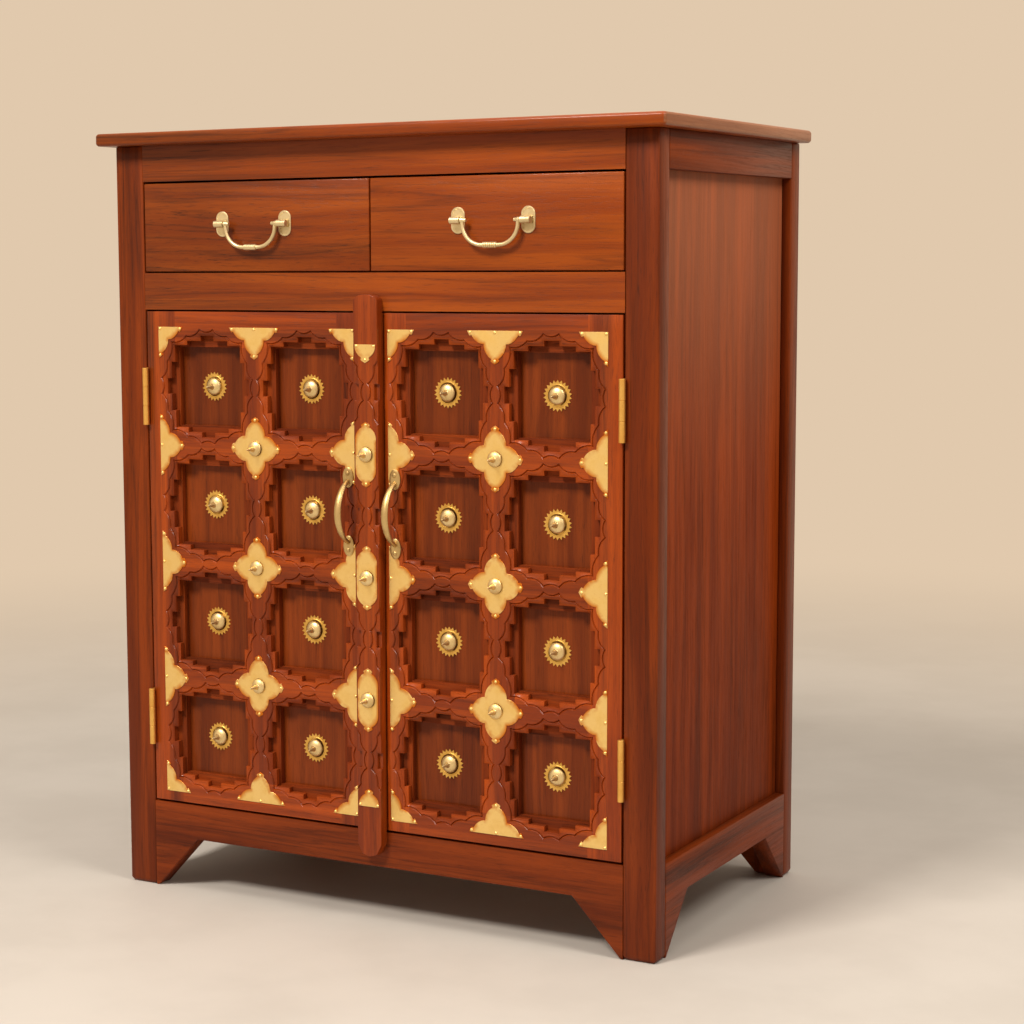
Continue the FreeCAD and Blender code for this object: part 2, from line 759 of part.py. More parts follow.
def pull_bow():
    """The tapered bow: oval sections square to a round arch."""
    foot = PULL_LENGTH / 2 - PULL_PLATE_LENGTH * 2 / 3
    rise = PULL_REACH - PULL_BOW_THICKNESS / 2 - PULL_PLATE_THICKNESS / 2
    radius = (foot * foot + rise * rise) / (2 * rise)
    spread = math.asin(foot / radius)
    sections = []
    for step in range(PULL_BOW_SPANS + 1):
        share = 2 * step / PULL_BOW_SPANS - 1
        angle = spread * share
        width = PULL_BOW_WIDTH + (PULL_BOW_END_WIDTH - PULL_BOW_WIDTH) * share * share
        out = -PULL_PLATE_THICKNESS / 2 - rise + radius * (1 - math.cos(angle))
        outward = vec(0, math.cos(angle), -math.sin(angle)) * (PULL_BOW_THICKNESS / 2)
        middle = vec(0, out, radius * math.sin(angle))
        sections.append(ring(middle, vec(width / 2, 0, 0), outward, PULL_SIDES))
    return facetted_solid(sections)


def pull():
    """A cast bow pull between two leaf-shaped plates, its back on the XZ plane."""
    half = PULL_LENGTH / 2
    leaf_middle = half - PULL_PLATE_LENGTH / 2
    quarter = []
    for step in range(PULL_LEAF_FACETS):
        angle = math.pi / 2 * step / PULL_LEAF_FACETS
        quarter.append((PULL_PLATE_WIDTH / 2 * math.sin(angle), PULL_PLATE_LENGTH / 2 * math.cos(angle)))
    quarter.append((PULL_PLATE_WIDTH / 2, 0))
    right = quarter + [(x, -z) for x, z in reversed(quarter[:-1])]
    leaf = right + [(-x, z) for x, z in reversed(right[1:-1])]
    plate = prism(polygon(leaf), PULL_PLATE_THICKNESS)
    plates = [moved(plate, 0, -PULL_PLATE_THICKNESS, end * leaf_middle) for end in (-1, 1)]
    behind = block((-PULL_LENGTH, PULL_LENGTH), (0, PULL_LENGTH), (-PULL_LENGTH, PULL_LENGTH))
    return pull_bow().fuse(plates).cut(behind)


def knuckle_ends(index, low):
    """The lower and upper end of one hinge knuckle."""
    step = HINGE_LENGTH / HINGE_KNUCKLES
    return low + index * step + HINGE_KNUCKLE_GAP / 2, low + (index + 1) * step - HINGE_KNUCKLE_GAP / 2


def hinge_axis(x_side):
    """Where the hinge pins stand, as (x, y)."""
    x = x_side * (OPENING_HALF - DOOR_SIDE_GAP / 2)
    return x, FACE_Y - HINGE_KNUCKLE_RADIUS - HINGE_STAND_OFF


def upright_prism(corners, height):
    """A polygon in a level plane, drawn up by height."""
    return Part.Face(Part.makePolygon(corners + corners[:1])).extrude(vec(0, 0, height))


def hinge_leaf(x_side, low, wood_face, inward, indices):
    """A leaf laid on wood_face, with its solid knuckles on the hinge axis."""
    axis_x, axis_y = hinge_axis(x_side)
    leaf_x = (wood_face, wood_face + inward * HINGE_LEAF_THICKNESS)
    leaf = block(leaf_x, (FACE_Y, FACE_Y + HINGE_LEAF_DEPTH), (low, low + HINGE_LENGTH))
    outer = HINGE_KNUCKLE_RADIUS
    knuckles = []
    for index in indices:
        start, end = knuckle_ends(index, low)
        knuckles.append(block(leaf_x, (axis_y, FACE_Y), (start, end)))
        corners = ring(vec(axis_x, axis_y, start), vec(outer, 0, 0), vec(0, outer, 0), HINGE_KNUCKLE_SIDES)
        knuckles.append(upright_prism(corners, end - start))
    return leaf.fuse(knuckles)


def hinge_pin(x_side, ends, radius):
    """A pin, or with the bore's radius the hole that it turns in, between two heights."""
    axis_x, axis_y = hinge_axis(x_side)
    return Part.makeCylinder(radius, ends[1] - ends[0], vec(axis_x, axis_y, ends[0]))


def hinge_lows():
    """The lower ends of one door's hinges."""
    height = DOOR_TOP - DOOR_BOTTOM
    return [DOOR_BOTTOM + height * share - HINGE_LENGTH / 2 for share in HINGE_HEIGHT_SHARES]


def build_hinges():
    """Frame leaves with the pins riveted into them, and door leaves that turn on the pins."""
    frame_leaves = []
    bore = HINGE_PIN_RADIUS + HINGE_CLEARANCE
    fixed_knuckles = range(0, HINGE_KNUCKLES, 2)
    turning_knuckles = range(1, HINGE_KNUCKLES, 2)
    for x_side, name in ((-1, "left"), (1, "right")):
        door_leaves = []
        for low in hinge_lows():
            fixed = hinge_leaf(x_side, low, x_side * OPENING_HALF, -x_side, fixed_knuckles)
            turning = hinge_leaf(x_side, low, x_side * DOOR_OUTER, x_side, turning_knuckles)
            bores = [hinge_pin(x_side, knuckle_ends(index, low), bore) for index in turning_knuckles]
            spans = [
                (knuckle_ends(index - 1, low)[1], knuckle_ends(index + 1, low)[0])
                for index in turning_knuckles
            ]
            frame_leaves.append(fixed.fuse([hinge_pin(x_side, ends, HINGE_PIN_RADIUS) for ends in spans]))
            door_leaves.append(turning.cut(bores))
        keep(name + "_door_hinge_leaves", *door_leaves)
    keep("hinge_frame_leaves", *frame_leaves)


def build_doors():
    """Both door leaves. The batten belongs to the left one, which reaches to its right edge.

    The pulls' end plates lie over the brass plates at the crossings above and below them.
    """
    middle = DOOR_BOTTOM + (DOOR_TOP - DOOR_BOTTOM) * PULL_HEIGHT_SHARE
    for name, x_side, meeting_edge in (
        ("left", -1, -BATTEN_HALF),
        ("right", 1, BATTEN_HALF + MEETING_GAP),
    ):
        build_lattice(name, x_side, meeting_edge)
        build_brass(name, x_side)
        seat = FACE_Y - PLATE_THICKNESS
        keep(name + "_door_pull", moved(pull(), x_side * PULL_FROM_CENTRE, seat, middle))
    build_hinges()
    build_batten()


# Drawers and their bails


def drawer_middle(x_side):
    return x_side * (DRAWER_MIDDLE_GAP / 2 + OPENING_HALF - DRAWER_SIDE_GAP) / 2


def build_drawer_box(name, x_side):
    """Front, sides with back, and a bottom housed in their grooves."""
    near = DRAWER_MIDDLE_GAP / 2
    far = OPENING_HALF - DRAWER_SIDE_GAP
    front_back = FACE_Y + DRAWER_FRONT_THICKNESS
    rear = BACK_PANEL_INNER - DRAWER_REAR_GAP
    low = DRAWER_FLOOR + DRAWER_RUN_GAP
    high = low + DRAWER_SIDE_HEIGHT
    front = block(
        (x_side * near, x_side * far),
        (FACE_Y, front_back),
        (DRAWER_FLOOR + DRAWER_BOTTOM_GAP, TOP_RAIL_BOTTOM - DRAWER_TOP_GAP),
    )
    outer_face = far - DRAWER_SIDE_INSET
    inner_face = near + DRAWER_MIDDLE_INSET
    outer_inside = outer_face - DRAWER_SIDE_THICKNESS
    inner_inside = inner_face + DRAWER_SIDE_THICKNESS
    side_y = (front_back, rear)
    sides = [
        block((x_side * outer_face, x_side * outer_inside), side_y, (low, high)),
        block((x_side * inner_face, x_side * inner_inside), side_y, (low, high)),
        block(
            (x_side * outer_inside, x_side * inner_inside),
            (rear - DRAWER_SIDE_THICKNESS, rear),
            (low, high),
        ),
    ]
    bottom_low = low + DRAWER_BOTTOM_RISE
    bottom = block(
        (
            x_side * (outer_inside + DRAWER_BOTTOM_GROOVE),
            x_side * (inner_inside - DRAWER_BOTTOM_GROOVE),
        ),
        (front_back - DRAWER_BOTTOM_GROOVE, rear - DRAWER_SIDE_THICKNESS + DRAWER_BOTTOM_GROOVE),
        (bottom_low, bottom_low + DRAWER_BOTTOM_THICKNESS),
    )
    keep(name + "_drawer_front", front.cut(bottom))
    keep(name + "_drawer_sides", *[side.cut(bottom) for side in sides])
    keep(name + "_drawer_bottom", bottom)


def build_guides():
    """Strips on the deck that guide the drawers' sides."""
    outer_face = OPENING_HALF - DRAWER_SIDE_GAP - DRAWER_SIDE_INSET
    inner_face = DRAWER_MIDDLE_GAP / 2 + DRAWER_MIDDLE_INSET
    z_ends = (DRAWER_FLOOR, DRAWER_FLOOR + GUIDE_HEIGHT)
    side_y = (FACE_Y + POST_DEPTH, REAR_Y - POST_DEPTH)
    guides = [
        block((x_side * (outer_face + GUIDE_GAP), x_side * PANEL_INNER_FACE), side_y, z_ends)
        for x_side in (-1, 1)
    ]
    half = inner_face - GUIDE_GAP
    guides.append(block((-half, half), (side_y[0], BACK_PANEL_INNER), z_ends))
    keep("drawer_guides", *guides)


def level_prism(x_ends, y, z, radius, sides):
    """A polygon across the X axis, drawn out between two values of x."""
    corners = ring(vec(min(x_ends), y, z), vec(0, radius, 0), vec(0, 0, radius), sides)
    face = Part.Face(Part.makePolygon(corners + corners[:1]))
    return face.extrude(vec(max(x_ends) - min(x_ends), 0, 0))


def bail_arm():
    """How far the bail's arms stand from its middle."""
    return BAIL_SPACING / 2 - EYE_LENGTH / 2 - EYE_GAP - BAIL_RADIUS


def eye_plate():
    """An oval plate with a barrel eye across it, its back on the XZ plane."""
    radius = EYE_PLATE_WIDTH / 2
    straight = EYE_PLATE_HEIGHT / 2 - radius
    top = []
    for step in range(EYE_PLATE_FACETS + 1):
        angle = math.pi * (step / EYE_PLATE_FACETS - 1 / 2)
        top.append((radius * math.sin(angle), straight + radius * math.cos(angle)))
    outline = polygon(top + quarter_turned(top, 2))
    plate = moved(prism(outline, EYE_PLATE_THICKNESS), 0, -EYE_PLATE_THICKNESS, 0)
    start = vec(-EYE_LENGTH / 2, -BAIL_STAND_OFF, 0)
    barrel = level_prism((-EYE_LENGTH / 2, EYE_LENGTH / 2), -BAIL_STAND_OFF, 0, EYE_RADIUS, EYE_SIDES)
    neck = block(
        (-EYE_LENGTH / 2, EYE_LENGTH / 2),
        (-BAIL_STAND_OFF, -EYE_PLATE_THICKNESS),
        (-EYE_NECK_HEIGHT / 2, EYE_NECK_HEIGHT / 2),
    )
    bore = Part.makeCylinder(BAIL_PIN_RADIUS + HINGE_CLEARANCE, EYE_LENGTH, start, vec(1, 0, 0))
    return plate.fuse([barrel, neck]).cut(bore)


def bail_path():
    """Points down the left arm, round the bends and up the right arm, each with its direction."""
    arm = bail_arm()
    bend = BAIL_DROP - BAIL_STRAIGHT
    points = [(-arm, 0, math.pi)]
    for step in range(BAIL_BEND_SPANS + 1):
        angle = math.pi / 2 * step / BAIL_BEND_SPANS
        x = -arm + bend * (1 - math.cos(angle))
        z = -BAIL_STRAIGHT - bend * math.sin(angle)
        points.append((x, z, math.pi - angle))
    right = [(-x, z, math.pi - turn) for x, z, turn in reversed(points)]
    return points + right


def bail():
    """A hanging bail: two pins, a round U and a sleeve at its middle, its pivot on the X axis."""
    sections = []
    for x, z, turn in bail_path():
        across = vec(math.cos(turn), 0, -math.sin(turn)) * BAIL_RADIUS
        sections.append(ring(vec(x, 0, z), across, vec(0, BAIL_RADIUS, 0), BAIL_SIDES))
    sleeve_half = BAIL_SLEEVE_LENGTH / 2
    parts = [level_prism((-sleeve_half, sleeve_half), 0, -BAIL_DROP, BAIL_SLEEVE_RADIUS, BAIL_SLEEVE_SIDES)]
    hub_end = bail_arm() + BAIL_RADIUS
    pin_end = BAIL_SPACING / 2 + EYE_LENGTH / 2
    for x_side in (-1, 1):
        hub = (x_side * (hub_end - BAIL_HUB_LENGTH), x_side * hub_end)
        parts.append(level_prism(hub, 0, 0, BAIL_HUB_RADIUS, BAIL_SLEEVE_SIDES))
        start = vec(x_side * hub_end, 0, 0)
        parts.append(Part.makeCylinder(BAIL_PIN_RADIUS, pin_end - hub_end, start, vec(x_side, 0, 0)))
    return facetted_solid(sections).fuse(parts)


def build_drawers():
    bail_z = DRAWER_FLOOR + DRAWER_OPENING * BAIL_HEIGHT_SHARE
    for name, x_side in (("left", -1), ("right", 1)):
        build_drawer_box(name, x_side)
        middle = drawer_middle(x_side)
        eyes = [
            moved(eye_plate(), middle + end * BAIL_SPACING / 2, FACE_Y, bail_z) for end in (-1, 1)
        ]
        keep(name + "_bail_eyes", *eyes)
        keep(name + "_bail", moved(bail(), middle, FACE_Y - BAIL_STAND_OFF, bail_z))
    build_guides()


def export():
    """Writes one STEP file for each node."""
    os.makedirs("parts", exist_ok=True)
    for node, shapes in pieces.items():
        solids = [solid for shape in shapes for solid in shape.Solids]
        whole = solids[0] if len(solids) == 1 else Part.makeCompound(solids)
        whole.exportStep("parts/" + node + ".step")


build_frame()
build_boards()
build_catches()
build_doors()
build_drawers()
export()
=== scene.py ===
"""The carved cabinet dressed for its picture: lacquered wood, a brass-mounted lattice and a studio.

Shapes are worked out in millimetres in the model's own frame: +X to the right, the front towards
-Y, +Z up. Each finished mesh is brought to metres when its object is made.
"""

import logging
import math
from dataclasses import dataclass
from enum import Enum
from typing import Iterable, Optional, Sequence, Union

import bmesh
import bpy
from bmesh.types import BMEdge, BMesh, BMFace, BMVert
from mathutils import Matrix, Vector
from mathutils.geometry import interpolate_bezier


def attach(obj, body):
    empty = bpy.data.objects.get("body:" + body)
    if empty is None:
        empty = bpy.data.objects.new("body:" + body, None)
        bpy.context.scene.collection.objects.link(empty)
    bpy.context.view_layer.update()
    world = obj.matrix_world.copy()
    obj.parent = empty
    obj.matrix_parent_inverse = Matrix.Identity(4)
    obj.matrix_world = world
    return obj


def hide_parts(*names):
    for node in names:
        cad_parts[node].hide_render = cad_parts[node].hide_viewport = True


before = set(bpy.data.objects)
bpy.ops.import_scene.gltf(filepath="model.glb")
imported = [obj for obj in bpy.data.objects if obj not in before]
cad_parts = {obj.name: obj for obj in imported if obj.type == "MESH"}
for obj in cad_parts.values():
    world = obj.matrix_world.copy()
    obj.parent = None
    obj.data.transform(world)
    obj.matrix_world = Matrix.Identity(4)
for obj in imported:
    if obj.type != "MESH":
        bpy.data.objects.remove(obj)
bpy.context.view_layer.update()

LOG = logging.getLogger("carved_cabinet")
MM = 0.001
SIDES = {"left": -1, "right": 1}
ENDS = (-1, 1)
FRONT = (0, -1, 0)
TO_UPRIGHT = Matrix.Rotation(math.pi / 2, 3, "X")
MERGE_DISTANCE = 1e-3
CUT_DISTANCE = 1e-4

# Sizes that several pieces share
FACE_Y = -237.75
DOOR_BOTTOM = 133.0
DOOR_TOP = 862.5
DOOR_OUTER = 382.4
BAR_HALF = 29.0
PLATE_THICKNESS = 1.0

# How island numbers step on, how far a number moves the grain, and what stays sharp
STICK_STEP = 0.381966
STICK_JUMPS = (0.31, -0.47, 9.7)
CARVED_SHARP = 38.0

Point = tuple[float, float]
Colour = tuple[float, float, float]
Value = Union[bpy.types.NodeSocket, float, Sequence[float]]


# Mesh helpers


def everything(bm: BMesh) -> list:
    """All vertices, edges and faces of a mesh."""
    return bm.verts[:] + bm.edges[:] + bm.faces[:]


def pick(items: Iterable, kind: type) -> list:
    """The items of one kind, such as BMVert, in their order."""
    return [item for item in items if isinstance(item, kind)]


def rim_edges(bm: BMesh) -> list[BMEdge]:
    """The edges that bound an open mesh."""
    return [edge for edge in bm.edges if edge.is_boundary]


def cut_off(
    bm: BMesh, geom: Sequence, point: Sequence[float], outward: Sequence[float]
) -> None:
    """Cuts off what lies past a plane and leaves the cut open.

    Args:
        bm: The mesh.
        geom: The part of it that is cut.
        point: A point on the plane.
        outward: The direction of what is cut off.
    """
    bmesh.ops.bisect_plane(
        bm, geom=geom, dist=CUT_DISTANCE, plane_co=point, plane_no=outward, clear_outer=True
    )


def clip(bm: BMesh, point: Sequence[float], outward: Sequence[float]) -> None:
    """Cuts off what lies past a plane and closes the cut.

    Args:
        bm: A closed mesh.
        point: A point on the plane.
        outward: The direction of what is cut off.
    """
    cut_off(bm, everything(bm), point, outward)
    bmesh.ops.holes_fill(bm, edges=rim_edges(bm), sides=0)


def add_block(bm: BMesh, low: Sequence[float], high: Sequence[float]) -> list[BMVert]:
    """Adds a box between two corners.

    Args:
        bm: The mesh that grows.
        low: One corner.
        high: The opposite corner.

    Returns:
        The box's vertices.
    """
    size = [abs(b - a) for a, b in zip(low, high)]
    middle = [(a + b) / 2 for a, b in zip(low, high)]
    verts = bmesh.ops.create_cube(bm, size=1.0)["verts"]
    bmesh.ops.scale(bm, vec=size, verts=verts)
    bmesh.ops.translate(bm, vec=middle, verts=verts)
    return verts


def add_loop(bm: BMesh, points: Iterable[Sequence[float]], closed: bool = True) -> list[BMEdge]:
    """Adds a line of edges through a few points.

    Args:
        bm: The mesh that grows.
        points: The points in order.
        closed: Whether the last point is joined to the first.

    Returns:
        The edges in order.
    """
    verts = [bm.verts.new(point) for point in points]
    pairs = list(zip(verts, verts[1:])) + ([(verts[-1], verts[0])] if closed else [])
    return [bm.edges.new(pair) for pair in pairs]


def edge_verts(edges: Iterable[BMEdge]) -> list[BMVert]:
    """The vertices of some edges, each once."""
    return list({vert for edge in edges for vert in edge.verts})


def add_turned(
    bm: BMesh,
    profile: Sequence[Point],
    centre: Sequence[float],
    axis: Sequence[float],
    steps: int,
    closed: bool = False,
) -> list[BMVert]:
    """Adds a turned piece.

    Args:
        bm: The mesh that grows.
        profile: Points as (radius, distance along the axis).
        centre: Where the axis starts.
        axis: The unit direction of the axis.
        steps: Steps round the axis.
        closed: Whether the profile is a closed outline, as of a tube.

    Returns:
        The new vertices.
    """
    before = set(bm.verts)
    along = Vector(axis)
    across = along.orthogonal().normalized()
    start = Vector(centre)
    edges = add_loop(bm, [start + across * r + along * h for r, h in profile], closed)
    geom = edge_verts(edges) + edges
    bmesh.ops.spin(
        bm, geom=geom, cent=start, axis=along, angle=math.tau, steps=steps, use_merge=True
    )
    fresh = [vert for vert in bm.verts if vert not in before]
    bmesh.ops.remove_doubles(bm, verts=fresh, dist=MERGE_DISTANCE)
    return [vert for vert in bm.verts if vert not in before]


def fill_loop(bm: BMesh, edges: Sequence[BMEdge]) -> BMFace:
    """Closes a loop of edges with one face that looks to the front.

    Args:
        bm: The mesh that grows.
        edges: The loop.

    Returns:
        The new face.
    """
    face = bmesh.ops.contextual_create(bm, geom=list(edges))["faces"][0]
    face.normal_update()
    if face.normal.dot(Vector(FRONT)) < 0:
        face.normal_flip()
    return face


def add_ring(bm: BMesh, segments: int, radius: float) -> list[BMVert]:
    """Adds an upright ring of edges round the origin.

    Args:
        bm: The mesh that grows.
        segments: How many edges it has.
        radius: Its radius.

    Returns:
        Its vertices in order.
    """
    verts = bmesh.ops.create_circle(bm, segments=segments, radius=radius)["verts"]
    bmesh.ops.rotate(bm, matrix=TO_UPRIGHT, verts=verts)
    return verts


def fill_ring(bm: BMesh, verts: Sequence[BMVert]) -> BMFace:
    """Closes a ring with one face that looks to the front."""
    return fill_loop(bm, list({edge for vert in verts for edge in vert.link_edges}))


def inset(bm: BMesh, face: BMFace, width: float, drop: float) -> None:
    """Insets one face by a width and lowers it by a drop, both in millimetres."""
    bmesh.ops.inset_region(
        bm, faces=[face], thickness=width, depth=-drop, use_boundary=True, use_even_offset=True
    )


def ease(bm: BMesh, edges: Sequence[BMEdge], width: float, segments: int = 2) -> None:
    """Rounds some edges by a small bevel.

    Args:
        bm: The mesh.
        edges: The edges to round.
        width: The bevel's width.
        segments: Its steps.
    """
    bmesh.ops.bevel(
        bm,
        geom=list(edges),
        offset=width,
        offset_type="OFFSET",
        segments=segments,
        profile=0.5,
        affect="EDGES",
        clamp_overlap=True,
        material=-1,
    )


def thicken(bm: BMesh, faces: Sequence[BMFace], shift: Sequence[float]) -> list[BMFace]:
    """Draws flat faces out into a closed solid.

    Args:
        bm: The mesh.
        faces: The flat faces, which stay as the back.
        shift: How far and which way the front goes.

    Returns:
        The faces of the front.
    """
    made = bmesh.ops.extrude_face_region(bm, geom=list(faces), use_keep_orig=True)["geom"]
    verts = pick(made, BMVert)
    bmesh.ops.translate(bm, vec=shift, verts=verts)
    return pick(made, BMFace)


def new_layer(bm: BMesh, name: str) -> None:
    """Adds a float attribute to a mesh. It comes first, because it renews the mesh's vertices."""
    if bm.verts.layers.float.get(name) is None:
        bm.verts.layers.float.new(name)


def set_layer(bm: BMesh, name: str, verts: Iterable[BMVert], value: float) -> None:
    """Writes one value into a float attribute of some vertices."""
    layer = bm.verts.layers.float[name]
    for vert in verts:
        vert[layer] = value


def mark_sticks(bm: BMesh, seed: float) -> None:
    """Gives every loose island of a mesh its own number from 0 to 1, for its grain and tone.

    Args:
        bm: The mesh.
        seed: What the first island's number starts from.
    """
    new_layer(bm, "stick")
    waiting = set(bm.verts)
    number = seed
    while waiting:
        island = set()
        edge = [min(waiting, key=lambda vert: tuple(vert.co))]
        while edge:
            vert = edge.pop()
            if vert in island:
                continue
            island.add(vert)
            edge += [link.other_vert(vert) for link in vert.link_edges]
        waiting -= island
        number = (number + STICK_STEP) % 1.0
        set_layer(bm, "stick", island, number)


def make_piece(
    name: str,
    bm: BMesh,
    body: str,
    material: bpy.types.Material,
    stands_for: Sequence[str],
    seed: float = 0.2,
    sharp: float = 32.0,
) -> bpy.types.Object:
    """Turns a finished mesh into an object that rides on a body.

    Args:
        name: The piece's name.
        bm: Its mesh, in millimetres. It is freed.
        body: The body it moves with.
        material: What it is made of.
        stands_for: The CAD nodes that it replaces.
        seed: Starts the numbers of its islands.
        sharp: Edges that turn more than this many degrees stay sharp.

    Returns:
        The new object.
    """
    mark_sticks(bm, seed)
    bmesh.ops.recalc_face_normals(bm, faces=bm.faces[:])
    bmesh.ops.scale(bm, vec=(MM, MM, MM), verts=bm.verts[:])
    mesh = bpy.data.meshes.new(name)
    bm.to_mesh(mesh)
    bm.free()
    mesh.shade_smooth()
    mesh.set_sharp_from_angle(angle=math.radians(sharp))
    mesh.materials.append(material)
    piece = bpy.data.objects.new(name, mesh)
    bpy.context.scene.collection.objects.link(piece)
    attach(piece, body)
    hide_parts(*stands_for)
    LOG.info("%s: %d faces on %s", name, len(mesh.polygons), body)
    return piece


def node_mesh(node: str) -> BMesh:
    """A merged copy of a CAD node's mesh, in millimetres, with its flat faces whole again."""
    bm = bmesh.new()
    bm.from_mesh(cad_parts[node].data)
    bmesh.ops.scale(bm, vec=(1 / MM, 1 / MM, 1 / MM), verts=bm.verts[:])
    bmesh.ops.remove_doubles(bm, verts=bm.verts[:], dist=0.01)
    bmesh.ops.dissolve_limit(
        bm, angle_limit=math.radians(0.5), verts=bm.verts[:], edges=bm.edges[:]
    )
    return bm


# Material helpers


class NodeSheet:
    """Adds nodes to one tree and links them up."""

    def __init__(self, tree: bpy.types.NodeTree) -> None:
        """Keeps the tree that the nodes go into."""
        self.tree = tree

    def feed(self, node: bpy.types.Node, inputs: dict) -> None:
        """Gives a node's inputs, by name or place, their sockets or values."""
        for key, value in inputs.items():
            if isinstance(value, bpy.types.NodeSocket):
                self.tree.links.new(value, node.inputs[key])
            else:
                node.inputs[key].default_value = value

    def add(self, kind: str, inputs: Optional[dict] = None, **settings) -> bpy.types.Node:
        """Adds a node.

        Args:
            kind: The node's type, without its ShaderNode prefix.
            inputs: Values or sockets for its inputs, by name or place.
            **settings: Its own properties.

        Returns:
            The node.
        """
        node = self.tree.nodes.new("ShaderNode" + kind)
        for key, value in settings.items():
            setattr(node, key, value)
        self.feed(node, inputs or {})
        return node

    def calc(self, operation: str, a: Value, b: Value = 0.0) -> bpy.types.NodeSocket:
        """The result of a Math node."""
        return self.add("Math", {0: a, 1: b}, operation=operation).outputs[0]

    def vector(self, operation: str, a: Value, b: Value) -> bpy.types.NodeSocket:
        """The result of a Vector Math node."""
        return self.add("VectorMath", {0: a, 1: b}, operation=operation).outputs[0]

    def mix(self, factor: Value, a: Value, b: Value, blend: str = "MIX") -> bpy.types.NodeSocket:
        """A blend of two colours."""
        node = self.add("Mix", {0: factor, 6: a, 7: b}, data_type="RGBA", blend_type=blend)
        return node.outputs[2]

    def span(
        self, value: Value, low: float, high: float, start: float = 0.0, end: float = 1.0
    ) -> bpy.types.NodeSocket:
        """A value brought smoothly from one range into another."""
        inputs = {"Value": value, "From Min": low, "From Max": high, "To Min": start, "To Max": end}
        return self.add("MapRange", inputs, interpolation_type="SMOOTHSTEP").outputs[0]

    def noise(
        self, vector: Value, scale: float, detail: float = 2.0, roughness: float = 0.5
    ) -> bpy.types.Node:
        """A noise texture."""
        inputs = {"Vector": vector, "Scale": scale, "Detail": detail, "Roughness": roughness}
        return self.add("TexNoise", inputs)


def start_material(name: str) -> tuple[bpy.types.Material, NodeSheet, bpy.types.Node]:
    """A new material, the sheet of its nodes and its Principled shader."""
    material = bpy.data.materials.new(name)
    material.use_nodes = True
    tree = material.node_tree
    return material, NodeSheet(tree), tree.nodes["Principled BSDF"]


def linear(red: float, green: float, blue: float) -> tuple[float, float, float, float]:
    """A screen colour from 0 to 255, as linear light."""
    def one(value: float) -> float:
        """One channel."""
        share = value / 255
        return share / 12.92 if share <= 0.04045 else ((share + 0.055) / 1.055) ** 2.4

    return (one(red), one(green), one(blue), 1.0)


def new_group(name: str, inputs: dict[str, str], outputs: dict[str, str]) -> bpy.types.NodeTree:
    """Starts a shader node group.

    Args:
        name: The group's name.
        inputs: Socket kinds by name, such as Float.
        outputs: The same for what it puts out.

    Returns:
        The group, with its input and output nodes.
    """
    tree = bpy.data.node_groups.new(name, "ShaderNodeTree")
    for in_out, sockets in (("INPUT", inputs), ("OUTPUT", outputs)):
        for socket, kind in sockets.items():
            tree.interface.new_socket(socket, in_out=in_out, socket_type="NodeSocket" + kind)
    tree.nodes.new("NodeGroupInput")
    tree.nodes.new("NodeGroupOutput")
    return tree


